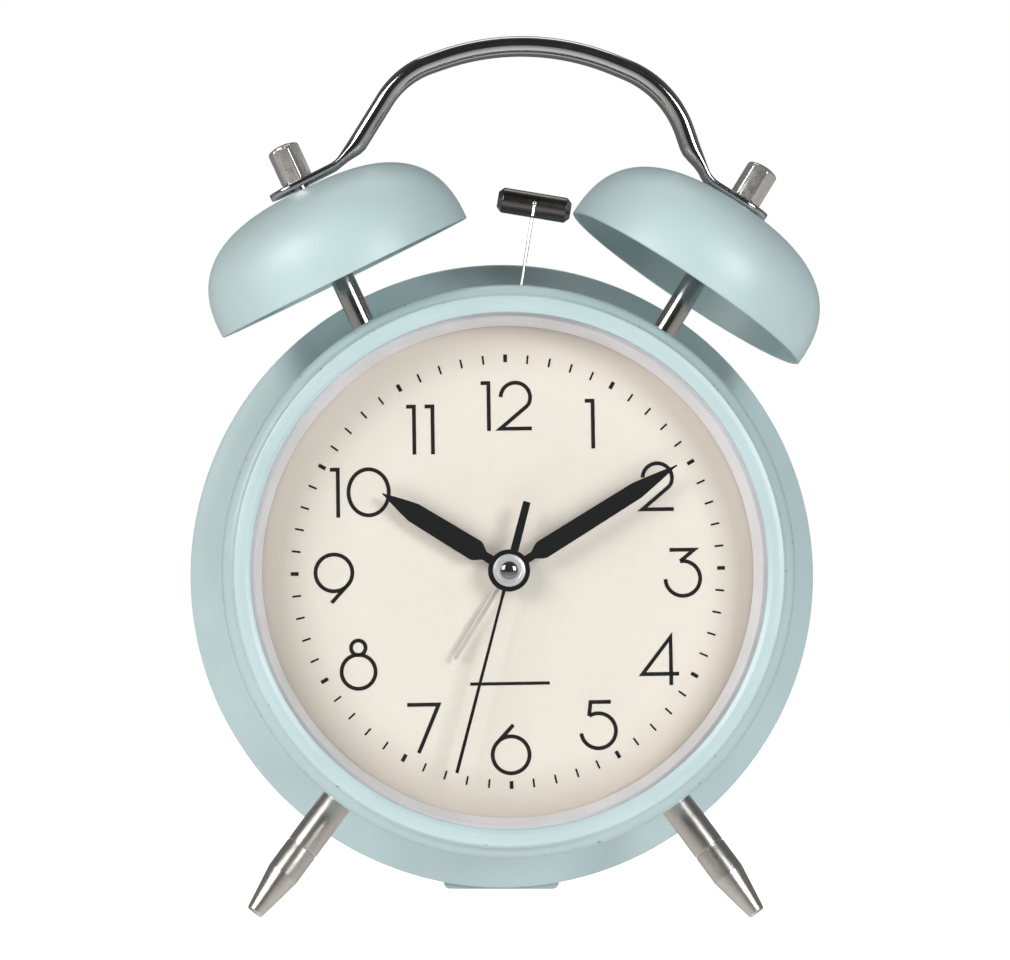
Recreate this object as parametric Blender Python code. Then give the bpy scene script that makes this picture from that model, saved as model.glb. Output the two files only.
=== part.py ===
"""A twin-bell alarm clock of the four inch size: a spool-shaped steel case on two legs, with a dial behind a
lens, two bells on posts, a strap handle, a hammer between the bells, and a quartz movement behind the dial.

Lengths are in millimetres until they become mesh points. The front view is the working plane: x to the
right, up, and `depth` counted backwards from the bezel's front face. Angles of hands run clockwise from 12.
"""

from math import acos, asin, atan2, cos, hypot, pi, radians, sin, sqrt, tan

import bmesh
import bpy
from mathutils import Matrix, Vector

MM = 0.001
GAP = 0.3  # between pieces that touch on the real clock

# Case
CENTRE_HEIGHT = 64.6  # of the dial axis over the table
REAR_RIM_R = 61.0
WAIST_R = 48.2
LIP_R = 53.0
SHEET = 0.8
LIP_DEPTH = 5.5
WAIST_DEPTH = 20.0
REAR_RIM_DEPTH = 42.0
RIM_ROLL_R = 0.8
FLANGE_DEPTH = 2.0
FLANGE_R = 48.6
KNOB_BACK_DEPTH = 52.0
BELL_FRONT_DEPTH = -6.88
FRONT_Y = -(KNOB_BACK_DEPTH + BELL_FRONT_DEPTH) / 2

# Front
BEZEL_R = 50.9
BEZEL_OPENING_R = 47.4
BEZEL_BACK = 1.7
LENS_DEPTHS = (2.0, 3.0)
RING_DEPTHS = (3.3, 9.5)
DIAL_VISIBLE_R = 45.7
DIAL_DEPTHS = (9.8, 10.6)

# Bells, posts and handle lie in one plane that tips forward from the top of the waist
GEAR_HEIGHT = 44.0
GEAR_TIP = radians(4.0)
BELL_R = 25.8
BELL_HEIGHT = 18.5
BELL_WALL = 0.9
BELL_POWER = 2.7
POST_R = 2.25
THREAD_R = 1.5
NUT_FLATS = 5.5
NUT_HEIGHT = 7.3
SIDES = {
    # seat: where the bell's crown meets the post, (x, up) from the dial axis. Leans count anticlockwise.
    # Each bell tips a little more, or less, than the handle's plane.
    "left": {
        "seat": (-39.1, 72.15),
        "post": radians(25.0),
        "bell": radians(26.6),
        "extra_tip": radians(2.0),
    },
    "right": {
        "seat": (44.0, 69.4),
        "post": radians(-31.2),
        "bell": radians(-33.6),
        "extra_tip": radians(-1.5),
    },
}

HANDLE_WIDTH = 8.4
HANDLE_THICK = 3.3
HANDLE_FOOT_WIDTH = 8.6
HANDLE_FOOT_THICK = 1.3
# Corners of the strap's upper surface from foot to foot, (x, up, bend radius)
HANDLE_CORNERS = [
    (-45.2, 71.0, 0.0),
    (-32.6, 77.5, 5.0),
    (-21.5, 95.6, 18.0),
    (3.9, 104.7, 48.0),
    (31.9, 93.3, 21.0),
    (38.3, 75.0, 5.0),
    (49.4, 68.1, 0.0),
]

# Legs
LEG_ANGLE = radians(36.4)
LEG_LEAN = radians(10.0)  # forward, so that the clock rests on its legs and rear foot
LEG_R = 3.1
LEG_TIP_R = 1.6
LEG_STUD_R = 2.0
LEG_STUD_LENGTH = 6.5
LEG_GROOVE = 64.6
LEG_NUT_FLATS = 6.5
LEG_NUT_HEIGHT = 2.4

# Hammer
HAMMER_DEPTH = 19.0
HAMMER_PIVOT = (-0.2, 37.0)
HAMMER_ARM = 33.1
HAMMER_LEAN = radians(9.0)
HAMMER_HEAD_R = 2.4
HAMMER_HEAD_LENGTH = 14.0
WIRE_R = 0.4
MOTOR_HEIGHT = 25.0
CRANK_THROW = 1.2

# Hands: angle from 12, depth of the blade's front, blade thickness
MINUTE_ANGLE = radians(57.7)
HOUR_ANGLE = radians(-58.9)
SECOND_ANGLE = radians(194.3)
ALARM_ANGLE = radians(211.2)
SECOND_DEPTH = 4.7
MINUTE_DEPTH = 5.6
HOUR_DEPTH = 6.7
ALARM_DEPTH = 7.8
BLADE = 0.4

# Nested arbors, (inner radius, outer radius), from the middle outwards
ARBOR_R = 0.5
MINUTE_PIPE = (0.6, 1.05)
HOUR_PIPE = (1.15, 1.6)
ALARM_PIPE = (1.7, 2.15)
BUSH = (2.25, 2.9)

# Gear train: the clock's own modules, teeth and centres
MODULE = 0.4
FINE_MODULE = 0.25
CANNON_TEETH = 10
MOTION_TEETH = 30
MOTION_PINION_TEETH = 8
HOUR_TEETH = 32
SET_TEETH = 10
ALARM_TEETH = 50
ALARM_PINION_TEETH = 10
SECOND_TEETH = 40
INTERMEDIATE_PINION_TEETH = 8
INTERMEDIATE_TEETH = 48
ROTOR_TEETH = 8
KNOB_X = 12.0
MOTION_CENTRE = (KNOB_X / 2, -sqrt(8.0**2 - (KNOB_X / 2) ** 2))
INTERMEDIATE_CENTRE = (0.0, 6.0)
ROTOR_CENTRE = (-7.0 * cos(radians(30)), 6.0 + 7.0 * sin(radians(30)))

# Movement housing and rear cover
HOUSING_HALF_WIDTH = 20.0
HOUSING_UP = (-14.0, 17.0)
HOUSING_DEPTHS = (10.9, 25.0)
HOUSING_WALL = 1.2
COVER_DEPTHS = (43.0, 44.6)
COVER_R = 59.0
BAY_HALF_WIDTH = 27.0
BAY_UP = (-36.0, -20.0)
BAY_FLOOR_DEPTH = 29.5
FOOT_HALF_WIDTH = 11.25
FOOT_UP = (-61.35, -50.0)  # the clock tips back a little to rest on it
KNOB_R = 5.5
SWITCH_CENTRE = (-20.0, 18.0)
SWITCH_TRAVEL = 5.0
BUTTON_CENTRE = (20.0, 18.0)
SCREW_R = 54.0
SCREW_ANGLES = {"top": 90, "left": 205, "right": 335}


# ---------------------------------------------------------------- tools


def clear_scene():
    for obj in list(bpy.data.objects):
        bpy.data.objects.remove(obj)


def material(name, color, roughness, metallic=0.0, alpha=1.0):
    mat = bpy.data.materials.get(name) or bpy.data.materials.new(name)
    mat.use_nodes = True
    shader = mat.node_tree.nodes["Principled BSDF"]
    shader.inputs["Base Color"].default_value = (*color, 1.0)
    shader.inputs["Roughness"].default_value = roughness
    shader.inputs["Metallic"].default_value = metallic
    shader.inputs["Alpha"].default_value = alpha
    mat.diffuse_color = (*color, alpha)
    return mat


def aqua():
    return material("aqua_paint", (0.49, 0.65, 0.66), 0.35)


def chrome():
    return material("chrome", (0.75, 0.75, 0.76), 0.12, 1.0)


def steel():
    return material("brushed_steel", (0.60, 0.59, 0.57), 0.32, 1.0)


def brass():
    return material("brass", (0.72, 0.55, 0.28), 0.3, 1.0)


def copper():
    return material("copper_wire", (0.72, 0.36, 0.18), 0.4, 1.0)


def black():
    return material("black_plastic", (0.02, 0.02, 0.022), 0.45)


def pale_plastic():
    return material("cover_plastic", (0.42, 0.54, 0.55), 0.45)


def hand_black():
    return material("hand_black", (0.012, 0.012, 0.013), 0.4, 0.3)


def white():
    return material("white_plastic", (0.80, 0.80, 0.82), 0.4)


def cream():
    return material("dial_cream", (0.87, 0.81, 0.73), 0.7)


def clear():
    return material("lens_clear", (0.95, 0.97, 0.97), 0.05, 0.0, 0.2)


def green():
    return material("board_green", (0.05, 0.25, 0.10), 0.5)


def frame_empty(name, matrix, parent=None):
    """An empty whose matrix, in millimetres, is counted in its parent's frame."""
    empty = bpy.data.objects.new(name, None)
    empty.empty_display_size = 5 * MM
    bpy.context.collection.objects.link(empty)
    place(empty, matrix, parent)
    return empty


def place(obj, matrix, parent=None):
    obj.parent = parent
    scaled = matrix.copy()
    scaled.translation = matrix.translation * MM
    obj.matrix_basis = scaled


def solid(name, bm, mat, matrix, parent, smooth=40):
    """One named object from a bmesh in millimetres."""
    bmesh.ops.recalc_face_normals(bm, faces=bm.faces)
    bmesh.ops.scale(bm, vec=(MM, MM, MM), verts=bm.verts)
    mesh = bpy.data.meshes.new(name)
    bm.to_mesh(mesh)
    bm.free()
    mesh.materials.append(mat)
    mesh.shade_smooth()
    mesh.set_sharp_from_angle(angle=radians(smooth))
    obj = bpy.data.objects.new(name, mesh)
    bpy.context.collection.objects.link(obj)
    place(obj, matrix, parent)
    return obj


def cut(obj, name, bm, matrix, parent, operation="DIFFERENCE"):
    """Cuts obj with a hidden helper solid, or joins that solid to it."""
    cutter = solid(name, bm, obj.data.materials[0], matrix, parent)
    cutter.hide_render = True
    cutter.display_type = "WIRE"
    boolean = obj.modifiers.new(name, "BOOLEAN")
    boolean.operation = operation
    boolean.solver = "EXACT"
    boolean.object = cutter


def turned(profile, segments):
    """A solid of revolution about local Z from a closed profile of (radius, z). A radius of 0 is a pole."""
    bm = bmesh.new()
    rings = []
    for radius, z in profile:
        if radius == 0:
            rings.append([bm.verts.new((0, 0, z))])
            continue
        angles = [2 * pi * k / segments for k in range(segments)]
        rings.append([bm.verts.new((radius * cos(a), radius * sin(a), z)) for a in angles])
    for near, far in zip(rings, rings[1:] + rings[:1]):
        for k in range(segments):
            corners = [near[k % len(near)], near[(k + 1) % len(near)]]
            corners += [far[(k + 1) % len(far)], far[k % len(far)]]
            unique = list(dict.fromkeys(corners))
            if len(unique) > 2:
                bm.faces.new(unique)
    return bm


def circle(radius, segments):
    angles = [2 * pi * k / segments for k in range(segments)]
    return [(radius * cos(a), radius * sin(a)) for a in angles]


def disc(radius, z_low, z_high, segments=24, bore=0.0):
    if bore:
        return turned([(bore, z_low), (radius, z_low), (radius, z_high), (bore, z_high)], segments)
    return prism(circle(radius, segments), z_low, z_high)


def prism(outline, z_low, z_high):
    """An outline of (x, y) points, extruded along local Z."""
    bm = bmesh.new()
    low = [bm.verts.new((x, y, z_low)) for x, y in outline]
    high = [bm.verts.new((x, y, z_high)) for x, y in outline]
    bm.faces.new(low)
    bm.faces.new(high)
    for k in range(len(outline)):
        n = (k + 1) % len(outline)
        bm.faces.new((low[k], low[n], high[n], high[k]))
    return bm


def box(x, y, z):
    """A box from (low, high) pairs."""
    return prism([(x[0], y[0]), (x[1], y[0]), (x[1], y[1]), (x[0], y[1])], z[0], z[1])


def arc(cx, cy, radius, start, end, steps):
    """Points of an arc from start to end degrees."""
    angles = [radians(start + (end - start) * k / steps) for k in range(steps + 1)]
    return [(cx + radius * cos(a), cy + radius * sin(a)) for a in angles]


def shifted(dx=0.0, dy=0.0, dz=0.0):
    return Matrix.Translation((dx, dy, dz))


def turn(angle, axis):
    return Matrix.Rotation(angle, 4, axis)


def at_depth(x, up, depth):
    """A place in the front view, for a mesh whose local Z points at the viewer."""
    return shifted(x, up, -depth)


# ---------------------------------------------------------------- case and front


def flare_radius():
    """The flare is one arc, level at the waist, that ends on the rear rim."""
    run = REAR_RIM_DEPTH - WAIST_DEPTH
    rise = REAR_RIM_R - WAIST_R
    return (run**2 + rise**2) / (2 * rise)


def shell_outer():
    """(radius, depth) along the outside of the sheet, from the front flange to the rolled rear rim."""
    bead_r = LIP_R - FLANGE_R - 1.0
    bead = [
        (LIP_R - bead_r + bead_r * sin(a), LIP_DEPTH - bead_r * cos(a))
        for a in [radians(45 * k) for k in range(3)]
    ]
    neck_start = LIP_DEPTH + 1.2
    neck = []
    for k in range(1, 5):
        share = k / 4
        drop = (1 + cos(pi * share)) / 2
        depth = neck_start + (WAIST_DEPTH - neck_start) * share
        neck.append((WAIST_R + (LIP_R - 0.1 - WAIST_R) * drop, depth))
    big = flare_radius()
    last = asin((REAR_RIM_DEPTH - WAIST_DEPTH) / big)
    flare = []
    for k in range(1, 7):
        a = last * k / 6
        flare.append((WAIST_R + big * (1 - cos(a)), WAIST_DEPTH + big * sin(a)))
    roll = [(REAR_RIM_R, REAR_RIM_DEPTH + RIM_ROLL_R)]
    return [(FLANGE_R, FLANGE_DEPTH)] + bead + neck + flare + roll


def inward(profile, distance):
    """The profile moved towards its inner side, by the local normal."""
    moved = []
    for k, (r, d) in enumerate(profile):
        r0, d0 = profile[max(k - 1, 0)]
        r1, d1 = profile[min(k + 1, len(profile) - 1)]
        length = hypot(r1 - r0, d1 - d0)
        moved.append((r - distance * (d1 - d0) / length, d + distance * (r1 - r0) / length))
    return moved


def build_case(axis):
    outer = shell_outer()
    inner = inward(outer[1:-1], SHEET)
    inner = [(FLANGE_R, FLANGE_DEPTH + SHEET)] + inner + [(REAR_RIM_R - 2.0, REAR_RIM_DEPTH + RIM_ROLL_R)]
    profile = [(r, -d) for r, d in outer + inner[::-1]]
    shell = solid("case_shell", turned(profile, 48), aqua(), shifted(), axis)
    tab = box((-4, 4), (51.0, 58.6), (-42.2, -40.8))
    for name, degrees in SCREW_ANGLES.items():
        spin = turn(radians(degrees - 90), "Z")
        cut(shell, f"weld_tab_{name}", tab.copy(), spin, axis, "UNION")
        hole = disc(1.5, -43, -40, 12)
        cut(shell, f"tab_hole_{name}", hole, spin @ shifted(0, SCREW_R, 0), axis)
    tab.free()
    for side in SIDES:
        cut(shell, f"post_hole_{side}", disc(THREAD_R + GAP, -42, -24, 16), post_frame(side), axis)
    for side, sign in (("left", 1), ("right", -1)):
        cut(shell, f"leg_hole_{side}", disc(LEG_STUD_R + GAP, 40, 52, 16), leg_frame(sign), axis)
    slot = box((-4.0, 5.0), (44, 52), (-HAMMER_DEPTH - 1.6, -HAMMER_DEPTH + 1.6))
    cut(shell, "hammer_slot", slot, shifted(), axis)


def build_front(axis):
    face = [(BEZEL_OPENING_R, 0.7), (BEZEL_OPENING_R + 0.35, 0.2), (BEZEL_OPENING_R + 1.0, 0.0)]
    face += [(BEZEL_R - 0.9, 0.0), (BEZEL_R - 0.25, 0.3), (BEZEL_R, 0.9), (BEZEL_R, BEZEL_BACK)]
    bezel = [(r, -d) for r, d in face] + [(BEZEL_OPENING_R, -BEZEL_BACK)]
    solid("front_bezel", turned(bezel, 48), aqua(), shifted(), axis)

    lens = disc(FLANGE_R - GAP, -LENS_DEPTHS[1], -LENS_DEPTHS[0], 48)
    solid("lens", lens, clear(), shifted(), axis)

    front, back = RING_DEPTHS
    ring = [(46.9, front), (47.9, front), (47.9, front + 1.0), (47.0, front + 1.4), (47.0, back)]
    ring += [(DIAL_VISIBLE_R, back)]
    solid("dial_ring", turned([(r, -d) for r, d in ring], 48), white(), shifted(), axis)

    dial = disc(46.9, -DIAL_DEPTHS[1], -DIAL_DEPTHS[0], 48, bore=BUSH[1] + GAP)
    solid("dial", dial, cream(), shifted(), axis)


# ---------------------------------------------------------------- bells, posts, handle, legs


def seat_frame(side):
    """The crown of one bell: in the tipped plane of bells and handle, local Z still at the viewer."""
    x, up = SIDES[side]["seat"]
    return shifted(0, GEAR_HEIGHT, -WAIST_DEPTH) @ turn(GEAR_TIP, "X") @ shifted(x, up - GEAR_HEIGHT, 0)


def post_frame(side):
    """Local Z runs up the post, and is 0 at the bell's crown."""
    return seat_frame(side) @ turn(SIDES[side]["post"], "Z") @ turn(-pi / 2, "X")


def bell_frame(side):
    tip = turn(SIDES[side]["extra_tip"], "X")
    return seat_frame(side) @ tip @ turn(SIDES[side]["bell"], "Z") @ turn(-pi / 2, "X")


def leg_frame(sign):
    """Local Z runs out along the leg, and is the waist's radius where the leg meets the waist."""
    seat = at_depth(0, 0, WAIST_DEPTH) @ turn(pi - sign * LEG_ANGLE, "Z") @ shifted(0, WAIST_R, 0)
    return seat @ turn(LEG_LEAN - pi / 2, "X") @ shifted(0, 0, -WAIST_R)


def bell_curve(radius, height, steps):
    """A quarter superellipse of (radius, z) from the rim up to the crown, with z 0 at the crown."""
    points = []
    for k in range(steps + 1):
        a = pi / 2 * k / steps
        r = radius * cos(a) ** (2 / BELL_POWER)
        z = height * sin(a) ** (2 / BELL_POWER) - height
        points.append((r, z))
    return points


def build_bells(axis):
    hole = THREAD_R + 0.5
    for side in SIDES:
        outer = bell_curve(BELL_R, BELL_HEIGHT, 7)[:-1]
        inner = bell_curve(BELL_R - BELL_WALL, BELL_HEIGHT - BELL_WALL, 7)[:-1]
        inner = [(r, z - BELL_WALL) for r, z in inner]
        profile = outer + [(hole, 0.0), (hole, -BELL_WALL)] + inner[::-1]
        solid(f"{side}_bell", turned(profile, 32), aqua(), bell_frame(side), axis)


def post_foot(side):
    """How far down the post's axis the waist lies, and the slope of its skin across the post."""
    x, up = SIDES[side]["seat"]
    lean = SIDES[side]["post"]
    along = -x * sin(lean) + (GEAR_HEIGHT + (up - GEAR_HEIGHT) * cos(GEAR_TIP)) * cos(lean)
    length = along - sqrt(along**2 - (x**2 + up**2 - WAIST_R**2))
    foot_x = x + length * sin(lean)
    foot_up = up - length * cos(lean)
    return length, lean - atan2(-foot_x, foot_up)


def build_posts(axis):
    for side in SIDES:
        length, slope = post_foot(side)
        shoulder = -length + GAP + 0.5
        profile = [(0, shoulder - 6.0), (THREAD_R, shoulder - 6.0), (THREAD_R, shoulder), (POST_R, shoulder)]
        profile += [(POST_R, -BELL_WALL - GAP - 0.1), (THREAD_R, -BELL_WALL - GAP - 0.1)]
        profile += [(THREAD_R, 5.2), (0, 5.2)]
        bm = turned(profile, 20)
        for vert in bm.verts:
            if abs(vert.co.z - shoulder) < 1e-6:
                vert.co.z += vert.co.x * tan(slope)
        solid(f"{side}_bell_post", bm, steel(), post_frame(side), axis)

        nut_top = shoulder - SHEET - 2 * GAP - 1.0
        nut = hexagon_nut(NUT_FLATS, nut_top - 2.2, nut_top, THREAD_R + 0.1)
        solid(f"{side}_post_nut", nut, steel(), post_frame(side), axis)


def hexagon_nut(flats, z_low, z_high, bore):
    """A plain nut: a hexagon with a round bore, joined ring to ring."""
    corner = flats / 2 / cos(pi / 6)
    bm = bmesh.new()
    rings = []
    for z in (z_low, z_high):
        outer = []
        inner = []
        for k in range(12):
            a = pi / 6 * k
            reach = corner if k % 2 == 0 else flats / 2
            outer.append(bm.verts.new((reach * cos(a), reach * sin(a), z)))
            inner.append(bm.verts.new((bore * cos(a), bore * sin(a), z)))
        rings.append((outer, inner))
    (low_out, low_in), (high_out, high_in) = rings
    for k in range(12):
        n = (k + 1) % 12
        bm.faces.new((low_out[k], low_out[n], high_out[n], high_out[k]))
        bm.faces.new((low_in[n], low_in[k], high_in[k], high_in[n]))
        bm.faces.new((low_in[k], low_in[n], low_out[n], low_out[k]))
        bm.faces.new((high_out[k], high_out[n], high_in[n], high_in[k]))
    return bm


def build_cap_nuts(axis):
    """Tall six-sided cap nuts with a low dome, over the handle's feet."""
    bottom = HANDLE_FOOT_THICK + 2 * GAP
    top = bottom + NUT_HEIGHT
    corner = NUT_FLATS / 2 / cos(pi / 6)
    outline = [(corner * cos(radians(a)), corner * sin(radians(a))) for a in range(-13, 347, 60)]
    dome = [(0, bottom - 1), (corner + 1, bottom - 1), (corner + 1, top - 1.3)]
    dome += [(corner - 0.85, top - 0.35), (1.2, top), (0, top)]
    for side in SIDES:
        at = post_frame(side)
        nut = solid(f"{side}_cap_nut", prism(outline, bottom, top), steel(), at, axis)
        cut(nut, f"{side}_nut_dome", turned(dome, 20), at, axis, "INTERSECT")
        cut(nut, f"{side}_nut_thread", disc(THREAD_R + 0.1, bottom - 2, 5.6, 12), at, axis)


def rounded_path(corners, steps):
    """Points of a path through the corners, each rounded by its own bend radius, and their directions."""
    points = [Vector(corners[0][:2])]
    for before, here, after in zip(corners, corners[1:], corners[2:]):
        p = Vector(here[:2])
        to_last = (Vector(before[:2]) - p).normalized()
        to_next = (Vector(after[:2]) - p).normalized()
        half = acos(max(-1, min(1, to_last.dot(to_next)))) / 2
        reach = here[2] / tan(half)
        centre = p + (to_last + to_next).normalized() * here[2] / sin(half)
        first = p + to_last * reach - centre
        sweep = pi - 2 * half
        sign = 1 if to_last.cross(to_next) > 0 else -1
        for k in range(steps + 1):
            points.append(centre + Matrix.Rotation(-sign * sweep * k / steps, 2) @ first)
    points.append(Vector(corners[-1][:2]))
    return points


def build_handle(axis):
    """A chrome strap, half round on its edges, that flattens into a drilled foot at each end."""
    path = rounded_path(HANDLE_CORNERS, 5)
    stations = []
    for end, inner in ((0, 1), (-1, -2)):
        run = (path[inner] - path[end]).normalized()
        reach = HANDLE_FOOT_WIDTH / 2
        extra = [path[end] + run * reach * (1 - cos(radians(a))) for a in (12, 35, 62, 90)]
        stations.append(extra if end == 0 else extra[::-1])
    line = stations[0] + path[1:-1] + stations[1]
    plane = shifted(0, GEAR_HEIGHT, -WAIST_DEPTH) @ turn(GEAR_TIP, "X") @ shifted(0, -GEAR_HEIGHT, 0)
    bm = bmesh.new()
    rings = []
    for k, p in enumerate(line):
        from_end = min((p - path[0]).length, (p - path[-1]).length)
        tip = sqrt(max(0.0, 1 - max(0.0, 1 - from_end / (HANDLE_FOOT_WIDTH / 2)) ** 2))
        blend = min(1.0, max(0.0, (from_end - 14.0) / 5.0))
        width = (HANDLE_FOOT_WIDTH + (HANDLE_WIDTH - HANDLE_FOOT_WIDTH) * blend) * tip
        thick = HANDLE_FOOT_THICK + (HANDLE_THICK - HANDLE_FOOT_THICK) * blend
        along = (line[min(k + 1, len(line) - 1)] - line[max(k - 1, 0)]).normalized()
        down = Vector((along.y, -along.x))
        ring = []
        for across, depth in strap_section(width, thick):
            spot = p + down * (depth + thick / 2)
            ring.append(bm.verts.new((spot.x, spot.y, across)))
        rings.append(ring)
    for near, far in zip(rings, rings[1:]):
        for k in range(len(near)):
            n = (k + 1) % len(near)
            bm.faces.new((near[k], near[n], far[n], far[k]))
    bm.faces.new(rings[0])
    bm.faces.new(rings[-1])
    handle = solid("handle", bm, chrome(), plane, axis)
    for side in SIDES:
        cut(handle, f"handle_hole_{side}", disc(THREAD_R + GAP, -2, 6, 16), post_frame(side), axis)


def strap_section(width, thick):
    """The strap's cross-section, (across, through), with rounded edges."""
    edge = min(thick * 0.42, width * 0.3)
    points = []
    for sx, sy, start in ((1, 1, 0), (-1, 1, 90), (-1, -1, 180), (1, -1, 270)):
        corner = arc(sx * (width / 2 - edge), sy * (thick / 2 - edge), edge, start, start + 90, 2)
        points += corner
    return points


def build_legs(axis):
    """Turned legs: a stud through the case, a fine groove, then a taper to a flat tip on the table."""
    fall = cos(LEG_ANGLE) * cos(LEG_LEAN)
    drop = CENTRE_HEIGHT - WAIST_R * cos(LEG_ANGLE) - LEG_TIP_R * sqrt(1 - fall**2)
    tip = WAIST_R + drop / fall
    start = WAIST_R + GAP + 0.7 + LEG_R * sin(LEG_LEAN)
    stud = start - LEG_STUD_LENGTH
    groove = LEG_GROOVE
    nut_top = WAIST_R - SHEET - GAP - 0.9
    for side, sign in (("left", 1), ("right", -1)):
        profile = [(0, stud), (LEG_STUD_R, stud), (LEG_STUD_R, start), (LEG_R, start)]
        profile += [(LEG_R, groove - 0.3), (LEG_R - 0.25, groove), (LEG_R, groove + 0.3)]
        profile += [(LEG_R, groove + 6.0), (LEG_TIP_R + 0.05, tip - 0.3), (LEG_TIP_R, tip), (0, tip)]
        solid(f"{side}_leg", turned(profile, 24), steel(), leg_frame(sign), axis)
        nut = hexagon_nut(LEG_NUT_FLATS, nut_top - LEG_NUT_HEIGHT, nut_top, LEG_STUD_R + 0.1)
        solid(f"{side}_leg_nut", nut, steel(), leg_frame(sign), axis)


# ---------------------------------------------------------------- hammer and bell motor


def hammer_frame():
    """The hammer's pivot, with local Y running up the wire."""
    return at_depth(*HAMMER_PIVOT, HAMMER_DEPTH) @ turn(-HAMMER_LEAN, "Z")


def build_hammer(axis):
    pivot = hammer_frame()
    half = HAMMER_HEAD_LENGTH / 2
    head = [(0, -half), (HAMMER_HEAD_R - 1, -half), (HAMMER_HEAD_R, 1 - half)]
    head += [(r, -z) for r, z in head[::-1]]
    along = shifted(0, HAMMER_ARM, 0) @ turn(pi / 2, "Y")
    head = solid("hammer_head", turned(head, 24), chrome(), pivot, axis)
    head.data.transform(scaled_matrix(along))
    socket = disc(WIRE_R + 0.1, -4, 0.2, 10)
    cut(head, "hammer_head_hole", socket, pivot @ shifted(0, HAMMER_ARM, 0) @ turn(-pi / 2, "X"), axis)

    wire = solid("hammer_arm", disc(WIRE_R, 5.5, HAMMER_ARM, 10), steel(), pivot, axis)
    wire.data.transform(scaled_matrix(turn(-pi / 2, "X")))

    # The lever leans back by the wire's lean, so that its tail hangs to the left of the motor's shaft.
    outline = arc(0, 0, 3.2, -60, 60, 5) + [(1.2, 5.0), (1.2, 8.0), (-1.2, 8.0), (-1.2, 5.0)]
    outline += arc(0, 0, 3.2, 120, 240, 5) + [(-1.3, -14.5), (1.3, -14.5)]
    lever = solid("hammer_lever", prism(outline, -1.0, 1.0), black(), pivot, axis)
    cut(lever, "lever_bore", disc(1.1, -2, 2, 16), pivot, axis)
    cut(lever, "lever_socket", disc(WIRE_R + 0.1, 5.0, 9.0, 10), pivot @ turn(-pi / 2, "X"), axis)

    pin = disc(1.0, -6.0, 2.0, 16)
    solid("hammer_pivot_pin", pin, steel(), at_depth(*HAMMER_PIVOT, HAMMER_DEPTH), axis)
    bracket = box((-7, 7), (31.5, 42.0), (-27.6, -26.2))
    frame = solid("hammer_bracket", bracket, steel(), shifted(), axis)
    shelf = box((-6, 6), (32.0, 41.5), (-26.5, -25.2))
    cut(frame, "bracket_boss", shelf, shifted(), axis, "UNION")


def scaled_matrix(matrix):
    """A matrix in millimetres, for mesh points that are already in metres."""
    result = matrix.copy()
    result.translation = matrix.translation * MM
    return result


def build_bell_motor(axis):
    can = [(0, -34.0), (5.0, -34.0), (5.0, -24.0), (1.8, -24.0), (1.8, -23.2), (0.8, -23.2)]
    can += [(0.8, -33.0), (0, -33.0)]
    solid("bell_motor", turned(can, 24), steel(), shifted(0, MOTOR_HEIGHT, 0), axis)
    crank = [(0, -32.5), (0.6, -32.5), (0.6, -22.6), (2.2, -22.6), (2.2, -21.6), (0, -21.6)]
    shaft = solid("motor_crank", turned(crank, 16), steel(), shifted(0, MOTOR_HEIGHT, 0), axis)
    pin = disc(0.5, -22.0, -20.4, 10)
    cut(shaft, "crank_pin", pin, shifted(-CRANK_THROW, MOTOR_HEIGHT, 0), axis, "UNION")


# ---------------------------------------------------------------- hands


def hand_frame(angle, depth):
    """The hand's axis, with local Y along the blade."""
    return at_depth(0, 0, depth) @ turn(-angle, "Z")


def blade_outline(hub, stem, shoulder, width, taper, length):
    """A hand from its round hub: a thin stem, a sloped shoulder, a blade and a point."""
    gap = asin(stem / 2 / hub)
    ring = arc(0, 0, hub, 90 - gap * 180 / pi, -270 + gap * 180 / pi, 20)
    left = [(-stem / 2, shoulder - 1.0), (-width / 2, shoulder + 0.6), (-width / 2 * 0.92, taper)]
    right = [(-x, y) for x, y in left[::-1]]
    return ring + left + [(-0.12, length), (0.12, length)] + right


def hand(name, outline, mat, at, pipe_r, axis):
    """A flat hand, drilled to press onto its pipe or arbor."""
    blade = solid(name, prism(outline, -BLADE, 0), mat, at, axis)
    cut(blade, f"{name}_bore", disc(pipe_r + 0.05, -2, 2, 16), at, axis)


def build_hands(axis):
    outline = blade_outline(3.9, 1.5, 6.3, 3.5, 28.0, 36.8)
    hand("minute_hand", outline, hand_black(), hand_frame(MINUTE_ANGLE, MINUTE_DEPTH), MINUTE_PIPE[1], axis)

    outline = blade_outline(3.5, 1.7, 6.3, 4.0, 20.7, 27.4)
    hand("hour_hand", outline, hand_black(), hand_frame(HOUR_ANGLE, HOUR_DEPTH), HOUR_PIPE[1], axis)

    outline = arc(0, 0, 3.0, 82, -262, 20) + [(-0.42, 19.2), (0.42, 19.2)]
    hand("alarm_hand", outline, steel(), hand_frame(ALARM_ANGLE, ALARM_DEPTH), ALARM_PIPE[1], axis)

    hub = 1.9
    outline = arc(0, 0, hub, 78, -66, 8) + [(0.7, -13.1), (-0.7, -13.1)] + arc(0, 0, hub, -114, -258, 8)
    outline += [(-0.4, 6.0), (-0.18, 38.5), (0.18, 38.5), (0.4, 6.0)]
    at = hand_frame(SECOND_ANGLE, SECOND_DEPTH)
    hand("second_hand", outline, hand_black(), at, ARBOR_R, axis)

    cap = [(0, 0.05), (3.0, 0.05), (2.9, 0.45), (2.3, 0.9), (1.2, 1.1), (0, 1.15)]
    solid("second_hand_cap", turned(cap, 24), chrome(), at, axis)


# ---------------------------------------------------------------- gear train


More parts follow.
